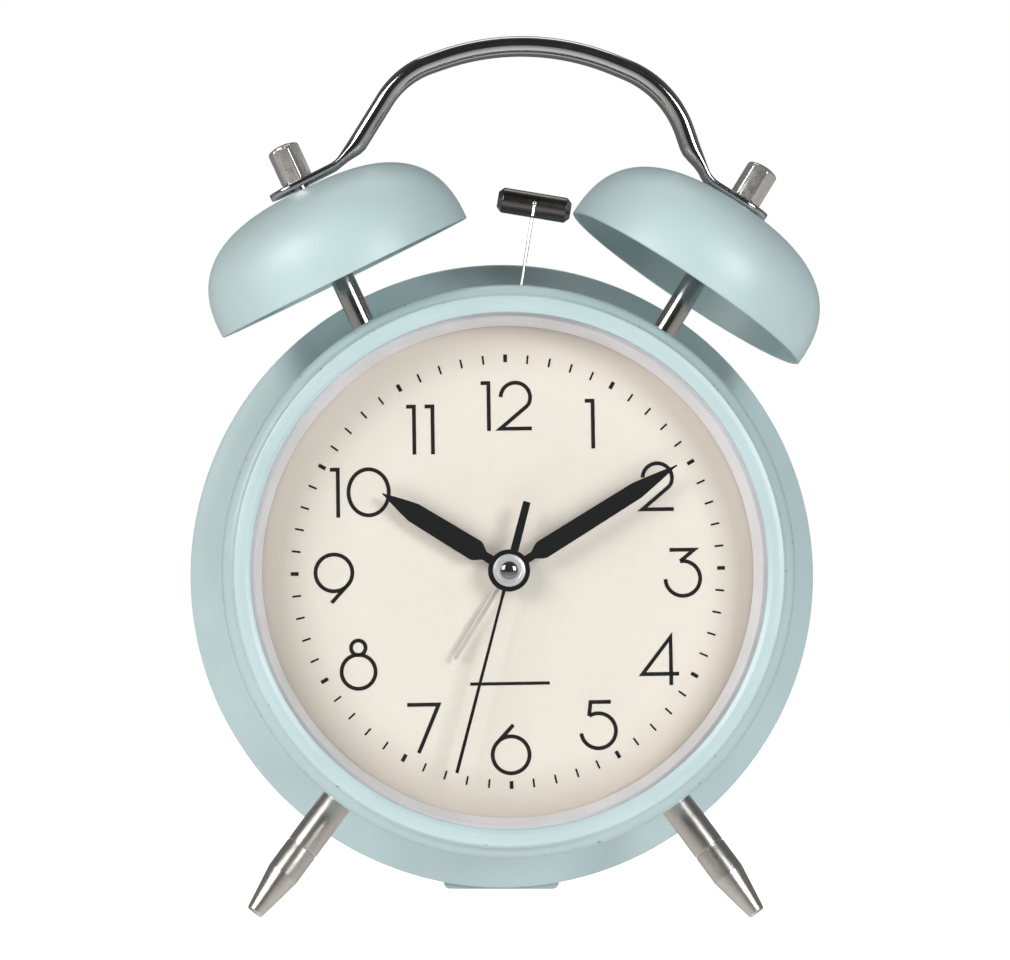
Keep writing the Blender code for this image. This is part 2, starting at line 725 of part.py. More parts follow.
def gear_outline(teeth, module, phase):
    """Straight-sided teeth with backlash, a tooth centred on the phase angle."""
    pitch_r = module * teeth / 2
    tip = pitch_r + 0.75 * module
    root = pitch_r - 1.2 * module
    step = 2 * pi / teeth
    points = []
    for k in range(teeth):
        middle = phase + k * step
        for radius, half in ((root, 0.30), (tip, 0.11)):
            points.append((radius, middle - half * step))
        for radius, half in ((tip, 0.11), (root, 0.30)):
            points.append((radius, middle + half * step))
    return [(r * cos(a), r * sin(a)) for r, a in points]


def mesh_phase(phase, teeth, other_teeth, direction):
    """The phase of the other gear, placed at `direction` from the first, whose teeth fill the first's gaps."""
    step = 2 * pi / teeth
    other_step = 2 * pi / other_teeth
    ahead = ((phase - direction) / step) % 1.0
    return direction + pi - (ahead + 0.5) * other_step


def bearing(start, end):
    return atan2(end[1] - start[1], end[0] - start[0])


def build_train(axis):
    centre = (0.0, 0.0)
    time_shaft = (KNOB_X, 0.0)
    alarm_shaft = (-KNOB_X, 0.0)

    def pipe(name, radii, front, back, mat, place_at=shifted()):
        return solid(name, disc(radii[1], -back, -front, 20, bore=radii[0]), mat, place_at, axis)

    def add_gear(obj, name, teeth, module, phase, front, back, place_at=shifted(), bore=0.0):
        outline = gear_outline(teeth, module, phase)
        cut(obj, f"{name}_teeth", prism(outline, -back, -front), place_at, axis, "UNION")
        if bore:
            cut(obj, f"{name}_gear_bore", disc(bore, -back - 1, -front + 1, 20), place_at, axis)

    cannon_phase = 0.0
    minute = pipe("minute_pinion", MINUTE_PIPE, MINUTE_DEPTH, 17.2, brass())
    add_gear(minute, "minute_pinion", CANNON_TEETH, MODULE, cannon_phase, 15.4, 16.8, bore=MINUTE_PIPE[0])

    motion_at = shifted(*MOTION_CENTRE, 0)
    motion_phase = mesh_phase(cannon_phase, CANNON_TEETH, MOTION_TEETH, bearing(centre, MOTION_CENTRE))
    motion = solid("motion_wheel", disc(0.5, -17.6, -13.7, 12), white(), motion_at, axis)
    add_gear(motion, "motion_wheel", MOTION_TEETH, MODULE, motion_phase, 15.7, 16.5, motion_at)
    add_gear(motion, "motion_pinion", MOTION_PINION_TEETH, MODULE, 0.0, 13.8, 16.0, motion_at)

    hour_phase = mesh_phase(0.0, MOTION_PINION_TEETH, HOUR_TEETH, bearing(MOTION_CENTRE, centre))
    hour = pipe("hour_wheel", HOUR_PIPE, HOUR_DEPTH, 15.0, white())
    add_gear(hour, "hour_wheel", HOUR_TEETH, MODULE, hour_phase, 14.1, 14.9, bore=HOUR_PIPE[0])

    set_at = shifted(*time_shaft, 0)
    set_phase = mesh_phase(motion_phase, MOTION_TEETH, SET_TEETH, bearing(MOTION_CENTRE, time_shaft))
    shaft = solid("time_set_shaft", disc(1.0, -49.0, -12.6, 16), white(), set_at, axis)
    add_gear(shaft, "time_set_pinion", SET_TEETH, MODULE, set_phase, 15.6, 16.6, set_at)

    alarm = pipe("alarm_wheel", ALARM_PIPE, ALARM_DEPTH, 13.6, white())
    add_gear(alarm, "alarm_wheel", ALARM_TEETH, MODULE, 0.0, 12.6, 13.4, bore=ALARM_PIPE[0])
    alarm_phase = mesh_phase(0.0, ALARM_TEETH, ALARM_PINION_TEETH, bearing(centre, alarm_shaft))
    alarm_at = shifted(*alarm_shaft, 0)
    shaft = solid("alarm_set_shaft", disc(1.0, -49.0, -12.5, 16), white(), alarm_at, axis)
    add_gear(shaft, "alarm_set_pinion", ALARM_PINION_TEETH, MODULE, alarm_phase, 12.5, 13.5, alarm_at)

    second = solid("second_wheel", disc(ARBOR_R, -18.9, -SECOND_DEPTH - 0.1, 12), white(), shifted(), axis)
    add_gear(second, "second_wheel", SECOND_TEETH, FINE_MODULE, 0.0, 18.0, 18.7)

    direction = bearing(centre, INTERMEDIATE_CENTRE)
    pinion_phase = mesh_phase(0.0, SECOND_TEETH, INTERMEDIATE_PINION_TEETH, direction)
    between_at = shifted(*INTERMEDIATE_CENTRE, 0)
    between = solid("intermediate_wheel", disc(0.4, -21.0, -17.5, 12), white(), between_at, axis)
    teeth = INTERMEDIATE_PINION_TEETH
    add_gear(between, "intermediate_pinion", teeth, FINE_MODULE, pinion_phase, 17.9, 19.4, between_at)
    add_gear(between, "intermediate_wheel", INTERMEDIATE_TEETH, FINE_MODULE, 0.0, 19.2, 19.9, between_at)

    direction = bearing(INTERMEDIATE_CENTRE, ROTOR_CENTRE)
    rotor_phase = mesh_phase(0.0, INTERMEDIATE_TEETH, ROTOR_TEETH, direction)
    rotor_at = shifted(*ROTOR_CENTRE, 0)
    rotor = solid("rotor", disc(2.0, -22.8, -20.7, 20), steel(), rotor_at, axis)
    add_gear(rotor, "rotor_pinion", ROTOR_TEETH, FINE_MODULE, rotor_phase, 19.0, 20.8, rotor_at)


# ---------------------------------------------------------------- movement housing and rear


def build_movement(axis):
    front, back = HOUSING_DEPTHS
    low, high = HOUSING_UP
    half = HOUSING_HALF_WIDTH
    plate_back = front + HOUSING_WALL
    plate = box((-half, half), HOUSING_UP, (-plate_back, -front))
    plate = solid("movement_front_plate", plate, white(), shifted(), axis)
    cut(plate, "bush_outside", disc(BUSH[1], -front - 0.6, -8.7, 20), shifted(), axis, "UNION")
    cut(plate, "bush_bore", disc(BUSH[0], -front - 3, -8, 20), shifted(), axis)

    shell = box((-half, half), HOUSING_UP, (-back, -plate_back - GAP))
    shell = solid("movement_housing", shell, white(), shifted(), axis)
    wall = HOUSING_WALL
    inside = box((-half + wall, half - wall), (low + wall, high - wall), (-back + wall, -plate_back + 1))
    cut(shell, "housing_inside", inside, shifted(), axis)
    for name, x in (("time", KNOB_X), ("alarm", -KNOB_X)):
        cut(shell, f"housing_{name}_hole", disc(1.0 + 0.15, -back - 1, -back + 3, 16), shifted(x, 0, 0), axis)

    x, up = ROTOR_CENTRE
    stator = solid("stator", box((-11, 2), (up - 4.5, up + 4.5), (-22.1, -21.3)), steel(), shifted(), axis)
    cut(stator, "stator_eye", disc(2.5, -23, -20, 20), shifted(x, up, 0), axis)
    coil = [(0, -5), (3.0, -5), (3.0, -4.2), (2.4, -4.2), (2.4, 4.2), (3.0, 4.2), (3.0, 5), (0, 5)]
    solid("drive_coil", turned(coil, 16), copper(), shifted(12.5, 11, -20.2) @ turn(pi / 2, "Y"), axis)
    board = box((4, 18), (-12, -2), (-22.6, -21.4))
    board = solid("circuit_board", board, green(), shifted(), axis)
    cut(board, "board_notch", disc(2.0, -23, -21, 16), shifted(KNOB_X, 0, 0), axis)


def build_rear(axis):
    front, back = COVER_DEPTHS
    bay_low, bay_high = BAY_UP
    wall = HOUSING_WALL
    half = BAY_HALF_WIDTH
    cover = solid("rear_cover", disc(COVER_R, -back, -front, 48), pale_plastic(), shifted(), axis)
    bay_depths = (-front - 0.6, wall - BAY_FLOOR_DEPTH)
    bay = box((-half - wall, half + wall), (bay_low - wall, bay_high + wall), bay_depths)
    cut(cover, "bay_outside", bay, shifted(), axis, "UNION")
    inside = box((-half, half), BAY_UP, (-back - 1, -BAY_FLOOR_DEPTH))
    cut(cover, "bay_inside", inside, shifted(), axis)
    foot = box((-FOOT_HALF_WIDTH, FOOT_HALF_WIDTH), FOOT_UP, (-back - 2.0, -back + 0.5))
    cut(cover, "rear_foot", foot, shifted(), axis, "UNION")
    for name, x in (("time", KNOB_X), ("alarm", -KNOB_X)):
        cut(cover, f"cover_{name}_hole", disc(1.3, -back - 1, -front + 1, 16), shifted(x, 0, 0), axis)
    for name, degrees in SCREW_ANGLES.items():
        spin = turn(radians(degrees - 90), "Z") @ shifted(0, SCREW_R, 0)
        cut(cover, f"cover_hole_{name}", disc(1.5, -back - 1, -front + 1, 12), spin, axis)
        seat = -back - GAP
        screw = [(0, -39.0), (1.2, -39.0), (1.2, seat), (2.4, seat), (2.2, seat - 1.1), (0, seat - 1.3)]
        solid(f"cover_screw_{name}", turned(screw, 16), steel(), spin, axis)
    sx, sy = SWITCH_CENTRE
    slot = box((sx - 2.5, sx + SWITCH_TRAVEL + 2.5), (sy - 2.0, sy + 2.0), (-back - 1, -front + 1))
    cut(cover, "switch_slot", slot, shifted(), axis)
    bx, by = BUTTON_CENTRE
    cut(cover, "button_hole", disc(4.0 + GAP, -back - 1, -front + 1, 20), shifted(bx, by, 0), axis)

    grip = box((-2.2, 2.2), (-1.7, 1.7), (-46.6, -41.0))
    switch = solid("alarm_switch", grip, black(), shifted(sx, sy, 0), axis)
    base = box((-4.0, 4.0), (-3.5, 3.5), (-42.6, -41.4))
    cut(switch, "switch_base", base, shifted(sx, sy, 0), axis, "UNION")
    button = [(0, -47.0), (3.4, -47.0), (4.0, -46.4), (4.0, -42.6), (5.2, -42.6), (5.2, -41.6)]
    button += [(0, -41.6)]
    solid("light_button", turned(button, 24), black(), shifted(bx, by, 0), axis)

    door = box((-half - 1.0, half + 1.0), (bay_low - 1.0, bay_high + 1.0), (-back - 1.5, -back - GAP))
    solid("battery_door", door, black(), shifted(), axis)
    for name, sign in (("positive", 1), ("negative", -1)):
        near, far = sorted((sign * (half - 0.8), sign * (half - GAP)))
        contact = box((near, far), (-33, -23), (-42.0, -30.5))
        solid(f"battery_contact_{name}", contact, brass(), shifted(), axis)

    for name, x in (("time", KNOB_X), ("alarm", -KNOB_X)):
        grip = []
        for k in range(48):
            a = 2 * pi * k / 48
            radius = KNOB_R - (0.0 if k % 4 < 2 else 0.45)
            grip.append((radius * cos(a), radius * sin(a)))
        place_at = shifted(x, 0, 0)
        knob = solid(f"{name}_set_knob", prism(grip, -KNOB_BACK_DEPTH, -45.4), black(), place_at, axis)
        cut(knob, f"{name}_knob_bore", disc(1.05, -49.4, -45, 16), place_at, axis)


def main():
    clear_scene()
    axis = frame_empty("dial_axis", shifted(0, FRONT_Y, CENTRE_HEIGHT) @ turn(pi / 2, "X"))
    build_case(axis)
    build_front(axis)
    build_bells(axis)
    build_posts(axis)
    build_cap_nuts(axis)
    build_handle(axis)
    build_legs(axis)
    build_hammer(axis)
    build_bell_motor(axis)
    build_hands(axis)
    build_train(axis)
    build_movement(axis)
    build_rear(axis)


main()
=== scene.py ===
"""The looks of the twin-bell alarm clock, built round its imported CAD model.

Lengths are in millimetres until they become mesh points. The front view is the working plane: x to the
right, up from the dial axis, and `depth` counted backwards from the bezel's front face.
"""

from math import acos, asin, atan2, cos, pi, radians, sin, sqrt, tan

import bmesh
import bpy
from mathutils import Matrix, Vector


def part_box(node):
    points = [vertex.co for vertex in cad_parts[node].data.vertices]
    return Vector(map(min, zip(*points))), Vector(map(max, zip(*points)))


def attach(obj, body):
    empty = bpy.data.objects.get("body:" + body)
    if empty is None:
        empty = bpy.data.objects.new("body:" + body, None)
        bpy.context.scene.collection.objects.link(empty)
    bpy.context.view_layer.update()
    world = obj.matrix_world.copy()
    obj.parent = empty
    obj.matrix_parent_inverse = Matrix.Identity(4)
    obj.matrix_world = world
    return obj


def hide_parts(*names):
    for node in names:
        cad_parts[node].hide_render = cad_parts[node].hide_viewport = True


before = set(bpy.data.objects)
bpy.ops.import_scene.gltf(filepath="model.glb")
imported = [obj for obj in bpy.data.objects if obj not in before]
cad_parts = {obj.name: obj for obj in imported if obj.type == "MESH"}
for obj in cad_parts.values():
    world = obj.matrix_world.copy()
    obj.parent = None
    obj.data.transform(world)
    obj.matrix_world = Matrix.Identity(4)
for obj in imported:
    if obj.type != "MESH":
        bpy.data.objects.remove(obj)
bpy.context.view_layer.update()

MM = 0.001
CASE = "case"


def node_range(node, axis):
    low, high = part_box(node)
    return low[axis] / MM, high[axis] / MM


# The dial axis, read from the CAD parts
FRONT_Y = node_range("front_bezel", 1)[0]
CENTRE_HEIGHT = sum(node_range("dial", 2)) / 2
GAP = 0.3

# Case
REAR_RIM_R = 61.0
WAIST_R = 48.2
LIP_R = 53.0
SHEET = 0.8
LIP_DEPTH = 5.5
WAIST_DEPTH = 20.0
FLARE_R = (22.0**2 + 12.8**2) / (2 * 12.8)
RIM_ROLL_R = 0.8
FLANGE_DEPTH = 2.0
FLANGE_R = 48.6

# Front
BEZEL_R = 50.9
BEZEL_OPENING_R = 47.4
BEZEL_BACK = 1.7
RING_DEPTHS = (3.3, 9.5)
DIAL_VISIBLE_R = 45.7
DIAL_DEPTH = 9.8

# Dial print
PRINT_TURN = radians(1.06)
TRACK_R = 40.4
STROKE = 0.72
INK = 0.05

# Bells, posts and handle
GEAR_HEIGHT = 44.0
GEAR_TIP = radians(4.0)
BELL_R = 25.8
BELL_HEIGHT = 18.5
BELL_WALL = 0.9
BELL_POWER = 2.7
POST_R = 2.25
THREAD_R = 1.5
NUT_FLATS = 5.5
NUT_HEIGHT = 7.3
# Where each bell's crown sits, and the leans in degrees of its post and of the bell
SIDES = {
    "left": {"seat": (-39.1, 72.15), "post": 25.0, "bell": 26.6, "extra_tip": 2.0},
    "right": {"seat": (44.0, 69.4), "post": -31.2, "bell": -33.6, "extra_tip": -1.5},
}
HANDLE_WIDTH = 8.4
HANDLE_THICK = 3.3
HANDLE_FOOT_WIDTH = 8.6
HANDLE_FOOT_THICK = 1.3
HANDLE_CORNERS = [
    (-45.2, 71.0, 0.0),
    (-32.6, 77.5, 5.0),
    (-21.5, 95.6, 18.0),
    (3.9, 104.7, 48.0),
    (31.9, 93.3, 21.0),
    (38.3, 75.0, 5.0),
    (49.4, 68.1, 0.0),
]

# Legs
LEG_ANGLE = radians(36.4)
LEG_LEAN = radians(10.0)
LEG_R = 3.1
LEG_TIP_R = 1.6
LEG_STUD_R = 2.0
LEG_STUD_LENGTH = 6.5
LEG_GROOVE = 64.6

# Hammer
HAMMER_DEPTH = 19.0
HAMMER_PIVOT = (-0.2, 37.0)
HAMMER_ARM = 33.1
HAMMER_LEAN = radians(9.0)
HAMMER_HEAD_R = 2.4
HAMMER_HEAD_LENGTH = 14.0
WIRE_R = 0.3

# Hands
MINUTE_ANGLE = radians(57.7)
HOUR_ANGLE = radians(-58.9)
SECOND_ANGLE = radians(194.3)
ALARM_ANGLE = radians(211.2)
SECOND_DEPTH = 4.7
MINUTE_DEPTH = 5.6
HOUR_DEPTH = 6.7
ALARM_DEPTH = 7.8
BLADE = 0.4

# Rear
COVER_FRONT = 43.0
COVER_BACK = 44.6
COVER_R = 59.0
BAY_HALF_WIDTH = 27.0
BAY_UP = (-36.0, -20.0)
BAY_FLOOR_DEPTH = 29.5
FOOT_HALF_WIDTH = 11.25
FOOT_UP = (-61.35, -50.0)
KNOB_X = 12.0
KNOB_R = 5.5
KNOB_DEPTHS = (45.4, 52.0)
KNOB_RIDGES = 24
SWITCH_CENTRE = (-20.0, 18.0)
SWITCH_TRAVEL = 5.0
BUTTON_CENTRE = (20.0, 18.0)
SCREW_R = 54.0
SCREW_ANGLES = {"top": 90, "left": 205, "right": 335}


# ---------------------------------------------------------------- places


def shifted(dx=0.0, dy=0.0, dz=0.0):
    return Matrix.Translation((dx, dy, dz))


def turn(angle, axis):
    return Matrix.Rotation(angle, 4, axis)


AXIS = shifted(0, FRONT_Y, CENTRE_HEIGHT) @ turn(pi / 2, "X")


def at_depth(x, up, depth):
    """A place in the front view, for a mesh whose local Z points at the viewer."""
    return shifted(x, up, -depth)


def seat_frame(side):
    x, up = SIDES[side]["seat"]
    return shifted(0, GEAR_HEIGHT, -WAIST_DEPTH) @ turn(GEAR_TIP, "X") @ shifted(x, up - GEAR_HEIGHT, 0)


def post_frame(side):
    """Local Z runs up the post, and is 0 at the bell's crown."""
    return seat_frame(side) @ turn(radians(SIDES[side]["post"]), "Z") @ turn(-pi / 2, "X")


def bell_frame(side):
    tip = turn(radians(SIDES[side]["extra_tip"]), "X")
    return seat_frame(side) @ tip @ turn(radians(SIDES[side]["bell"]), "Z") @ turn(-pi / 2, "X")


def leg_frame(sign):
    """Local Z runs out along the leg, and is the waist's radius where the leg meets the waist."""
    seat = at_depth(0, 0, WAIST_DEPTH) @ turn(pi - sign * LEG_ANGLE, "Z") @ shifted(0, WAIST_R, 0)
    return seat @ turn(LEG_LEAN - pi / 2, "X") @ shifted(0, 0, -WAIST_R)


def hand_frame(angle, depth):
    """The hand's axis, with local Y along the blade."""
    return at_depth(0, 0, depth) @ turn(-angle, "Z")


# ---------------------------------------------------------------- mesh tools


def arc(cx, cy, radius, start, end, steps):
    """Points of an arc from start to end degrees."""
    angles = [radians(start + (end - start) * k / steps) for k in range(steps + 1)]
    return [(cx + radius * cos(a), cy + radius * sin(a)) for a in angles]


def circle(radius, segments=64):
    angles = [2 * pi * k / segments for k in range(segments)]
    return [(radius * cos(a), radius * sin(a)) for a in angles]


def lathe(profile, segments=128):
    """A solid of revolution about local Z, from a closed profile of (radius, z)."""
    bm = bmesh.new()
    rings = []
    for radius, z in profile:
        outline = circle(radius, segments) if radius else [(0, 0)]
        rings.append([bm.verts.new((x, y, z)) for x, y in outline])
    for near, far in zip(rings, rings[1:] + rings[:1]):
        for k in range(segments):
            corners = [near[k % len(near)], near[(k + 1) % len(near)]]
            corners += [far[(k + 1) % len(far)], far[k % len(far)]]
            unique = list(dict.fromkeys(corners))
            if len(unique) > 2:
                bm.faces.new(unique)
    return bm


def skin(bm, rings, capped=True):
    """Faces between one ring of points and the next, and over the first and the last."""
    for near, far in zip(rings, rings[1:]):
        for k in range(len(near)):
            n = (k + 1) % len(near)
            bm.faces.new((near[k], near[n], far[n], far[k]))
    if capped:
        bm.faces.new(rings[0])
        bm.faces.new(rings[-1])


def prism(outline, z_low, z_high):
    bm = bmesh.new()
    skin(bm, [[bm.verts.new((x, y, z)) for x, y in outline] for z in (z_low, z_high)])
    return bm


def box(x, y, z):
    return prism([(x[0], y[0]), (x[1], y[0]), (x[1], y[1]), (x[0], y[1])], z[0], z[1])


def rounded_box(x, y, radius, steps=5):
    """Outline of a rectangle from (low, high) pairs, with round corners."""
    points = []
    for cx, cy, start in ((x[1], y[1], 0), (x[0], y[1], 90), (x[0], y[0], 180), (x[1], y[0], 270)):
        inset_x = cx - radius if cx == x[1] else cx + radius
        inset_y = cy - radius if cy == y[1] else cy + radius
        points += arc(inset_x, inset_y, radius, start, start + 90, steps)
    return points


def fillet(before, here, after):
    """Start, end, centre and half the angle of the round at the corner `here`, an (x, y, radius)."""
    corner = Vector(here[:2])
    to_last = (Vector(before[:2]) - corner).normalized()
    to_next = (Vector(after[:2]) - corner).normalized()
    half = acos(max(-1, min(1, to_last.dot(to_next)))) / 2
    reach = here[2] / tan(half)
    centre = corner + (to_last + to_next).normalized() * here[2] / sin(half)
    return corner + to_last * reach, corner + to_next * reach, centre, half


def rounded_profile(corners, steps=5):
    """A closed profile whose corners (r, z, fillet) are rounded by their fillet radius."""
    points = []
    for k, here in enumerate(corners):
        if not here[2]:
            points.append(here[:2])
            continue
        start, end, centre, _ = fillet(corners[k - 1], here, corners[(k + 1) % len(corners)])
        for step in range(steps + 1):
            mixed = (start - centre).lerp(end - centre, step / steps).normalized()
            points.append(tuple(centre + mixed * here[2]))
    return points


def linked(name, bm, mat):
    """The mesh as a smooth object in the scene."""
    bmesh.ops.recalc_face_normals(bm, faces=bm.faces)
    mesh = bpy.data.meshes.new(name)
    bm.to_mesh(mesh)
    bm.free()
    mesh.materials.append(mat)
    mesh.shade_smooth()
    obj = bpy.data.objects.new(name, mesh)
    bpy.context.scene.collection.objects.link(obj)
    return obj


def make(name, bm, mat, matrix, smooth=32):
    bmesh.ops.scale(bm, vec=(MM, MM, MM), verts=bm.verts)
    obj = linked(name, bm, mat)
    obj.data.set_sharp_from_angle(angle=radians(smooth))
    scaled = AXIS @ matrix
    scaled.translation = scaled.translation * MM
    obj.matrix_world = scaled
    return obj


def piece(name, bm, mat, matrix, body, nodes=(), smooth=32):
    """A shown piece that rides a body, takes the given finish and may stand for CAD nodes."""
    obj = make(name, bm, mat, matrix, smooth)
    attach(obj, body)
    if nodes:
        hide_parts(*nodes)
    return obj


def bevel(obj, width, segments=3, angle=40):
    mod = obj.modifiers.new("edge", "BEVEL")
    mod.width = width * MM
    mod.segments = segments
    mod.limit_method = "ANGLE"
    mod.angle_limit = radians(angle)
    mod.harden_normals = False


def cut(obj, bm, matrix, operation="DIFFERENCE"):
    """Cuts a solid from obj, or joins it, and keeps only the result."""
    tool = make(f"{obj.name}_tool", bm, obj.data.materials[0], matrix)
    boolean = obj.modifiers.new("cut", "BOOLEAN")
    boolean.operation = operation
    boolean.solver = "EXACT"
    boolean.object = tool
    bpy.context.view_layer.update()
    graph = bpy.context.evaluated_depsgraph_get()
    mesh = bpy.data.meshes.new_from_object(obj.evaluated_get(graph))
    mesh.shade_smooth()
    mesh.set_sharp_from_angle(angle=radians(30))
    old = obj.data
    obj.modifiers.remove(boolean)
    obj.data = mesh
    bpy.data.meshes.remove(old)
    bpy.data.objects.remove(tool)


# ---------------------------------------------------------------- materials


class Nodes:
    """A node tree, with helpers for procedural detail."""

    def __init__(self, tree, space="Object"):
        self.tree = tree
        self.place = tree.nodes.new("ShaderNodeTexCoord").outputs[space]

    def link(self, out, into):
        self.tree.links.new(out, into)

    def ramp(self, value, stops):
        node = self.tree.nodes.new("ShaderNodeValToRGB")
        ramp = node.color_ramp
        while len(ramp.elements) < len(stops):
            ramp.elements.new(0.5)
        for element, (position, shade) in zip(ramp.elements, stops):
            element.position = position
            element.color = (*shade, 1.0) if isinstance(shade, tuple) else (shade, shade, shade, 1.0)
        self.link(value, node.inputs["Fac"])
        return node.outputs["Color"]

    def math(self, operation, a, b=None):
        node = self.tree.nodes.new("ShaderNodeMath")
        node.operation = operation
        for value, socket in ((a, node.inputs[0]), (b, node.inputs[1])):
            if value is None:
                continue
            if isinstance(value, (int, float)):
                socket.default_value = value
            else:
                self.link(value, socket)
        return node.outputs[0]

    def mix(self, factor, a, b, blend="MIX"):
        node = self.tree.nodes.new("ShaderNodeMix")
        node.data_type = "RGBA"
        node.blend_type = blend
        for value, socket in ((factor, node.inputs[0]), (a, node.inputs[6]), (b, node.inputs[7])):
            if isinstance(value, (int, float)):
                socket.default_value = value
            elif isinstance(value, tuple):
                socket.default_value = (*value, 1.0)
            else:
                self.link(value, socket)
        return node.outputs[2]

    def axes(self, vector=None):
        split = self.tree.nodes.new("ShaderNodeSeparateXYZ")
        self.link(vector or self.place, split.inputs[0])
        return split.outputs

    def share(self, value, low, high, kind="LINEAR"):
        """How far value lies from low to high, from 0 to 1."""
        node = self.tree.nodes.new("ShaderNodeMapRange")
        node.interpolation_type = kind
        node.inputs["From Min"].default_value = low
        node.inputs["From Max"].default_value = high
        self.link(value, node.inputs["Value"])
        return node.outputs["Result"]

    def facing(self, axis, stops):
        """A shade set by how far a direction points along an axis, from -1 to 1."""
        return self.ramp(self.share(axis, -1.0, 1.0), [((at + 1) / 2, shade) for at, shade in stops])


class Finish(Nodes):
    """A Principled material. Sizes of detail are in millimetres."""

    def __init__(self, name, color, roughness, metallic=0.0):
        self.mat = bpy.data.materials.new(name)
        self.mat.use_nodes = True
        super().__init__(self.mat.node_tree)
        self.shader = self.tree.nodes["Principled BSDF"]
        self.color = color
        self.set("Base Color", (*color, 1.0))
        self.set("Roughness", roughness)
        self.set("Metallic", metallic)

    def set(self, socket, value):
        self.shader.inputs[socket].default_value = value

    def stretched(self, scale):
        mapping = self.tree.nodes.new("ShaderNodeMapping")
        mapping.inputs["Scale"].default_value = scale
        self.link(self.place, mapping.inputs["Vector"])
        return mapping.outputs["Vector"]

    def noise(self, size, detail=2.0, stretch=None, offset=0.0):
        node = self.tree.nodes.new("ShaderNodeTexNoise")
        node.noise_dimensions = "4D"
        node.inputs["W"].default_value = offset
        node.inputs["Scale"].default_value = 1000 / size
        node.inputs["Detail"].default_value = detail
        self.link(self.stretched(stretch) if stretch else self.place, node.inputs["Vector"])
        return node.outputs["Fac"]

    def radius(self, middle=0.0):
        """Millimetres from the local Z axis, or from a line along Y at the height `middle`."""
        across, along, up = self.axes()
        other = self.math("SUBTRACT", up, middle * MM) if middle else along
        squares = [self.math("POWER", length, 2.0) for length in (across, other)]
        return self.math("MULTIPLY", self.math("SQRT", self.math("ADD", *squares)), 1000.0)

    def between(self, value, low, high, soft):
        """1 where value lies between low and high, with soft edges."""
        rise = self.share(value, low - soft, low, "SMOOTHSTEP")
        return self.math("MULTIPLY", rise, self.share(value, high + soft, high, "SMOOTHSTEP"))

    def tint(self, color):
        self.link(color, self.shader.inputs["Base Color"])

    def vary_roughness(self, value, low, high):
        self.link(self.ramp(value, [(0.3, low), (0.7, high)]), self.shader.inputs["Roughness"])

    def bump(self, height, depth, strength=1.0):
        node = self.tree.nodes.new("ShaderNodeBump")
        node.inputs["Strength"].default_value = strength
        node.inputs["Distance"].default_value = depth * MM
        self.link(height, node.inputs["Height"])
        previous = self.shader.inputs["Normal"].links
        if previous:
            self.link(previous[0].from_socket, node.inputs["Normal"])
        self.link(node.outputs["Normal"], self.shader.inputs["Normal"])

    def shades(self, value, share, low=0.3, high=0.7):
        """The base colour, darker and lighter by a share across the value."""
        dark = tuple(c * (1 - share) for c in self.color)
        light = tuple(min(1.0, c * (1 + share)) for c in self.color)
        return self.ramp(value, [(low, dark), (high, light)])


def aqua_paint(name, speck_band=None, coat=0.35, roughness=0.36):
    """Satin pastel enamel: faint clouding, orange peel, and chips along an edge."""
    finish = Finish(name, (0.455, 0.575, 0.585), roughness)
    finish.set("Specular IOR Level", 0.5)
    finish.set("Coat Weight", coat)
    finish.set("Coat Roughness", roughness - 0.08)
    color = finish.shades(finish.noise(14.0, 3.0), 0.035)
    dust = finish.ramp(finish.noise(0.55, 1.0, offset=3.0), [(0.70, 0.0), (0.76, 1.0)])
    color = finish.mix(finish.math("MULTIPLY", dust, 0.25), color, (0.72, 0.78, 0.78))
    if speck_band:
        band = finish.between(finish.radius(), *speck_band, 0.12)
        chips = finish.ramp(finish.noise(0.9, 2.0, offset=7.0), [(0.67, 0.0), (0.70, 1.0)])
        color = finish.mix(finish.math("MULTIPLY", band, chips), color, (0.16, 0.20, 0.21))
    finish.tint(color)
    finish.vary_roughness(finish.noise(5.0, 3.0, offset=1.0), roughness - 0.03, roughness + 0.06)
    finish.bump(finish.noise(0.8, 2.0, offset=5.0), 0.012, 0.5)
    return finish.mat


def polished(name, color, low, high):
    finish = Finish(name, color, low, 1.0)
    finish.tint(finish.shades(finish.noise(6.0, 3.0, offset=2.0), 0.06))
    smudges = finish.noise(3.5, 4.0, offset=4.0)
    finish.vary_roughness(smudges, low, high)
    finish.bump(finish.noise(0.9, 3.0, offset=6.0), 0.0015, 0.3)
    return finish.mat


def turned_steel(name, color=(0.56, 0.55, 0.53), low=0.18, high=0.34):
    """Turned steel: fine rings about local Z over a faint grain."""
    finish = Finish(name, color, 0.25, 1.0)
    rings = finish.noise(0.3, 2.0, (0.02, 0.02, 1.0))
    grain = finish.noise(0.5, 3.0, (1.0, 1.0, 0.4), 2.0)
    color = finish.shades(finish.noise(4.0, 3.0, offset=3.0), 0.07)
    finish.tint(finish.mix(0.3, color, finish.shades(grain, 0.2)))
    finish.vary_roughness(grain, low, high)
    finish.bump(rings, 0.0008, 0.3)
    finish.bump(grain, 0.001, 0.3)
    return finish.mat


def brushed_steel(name):
    finish = Finish(name, (0.50, 0.48, 0.46), 0.3, 1.0)
    strokes = finish.noise(0.35, 3.0, (1.0, 1.0, 0.06))
    spots = finish.ramp(finish.noise(0.5, 1.0, offset=5.0), [(0.66, 0.0), (0.72, 1.0)])
    color = finish.shades(strokes, 0.16)
    finish.tint(finish.mix(finish.math("MULTIPLY", spots, 0.35), color, (0.18, 0.16, 0.15)))
    finish.vary_roughness(strokes, 0.2, 0.36)
    finish.bump(strokes, 0.004, 0.3)
    return finish.mat


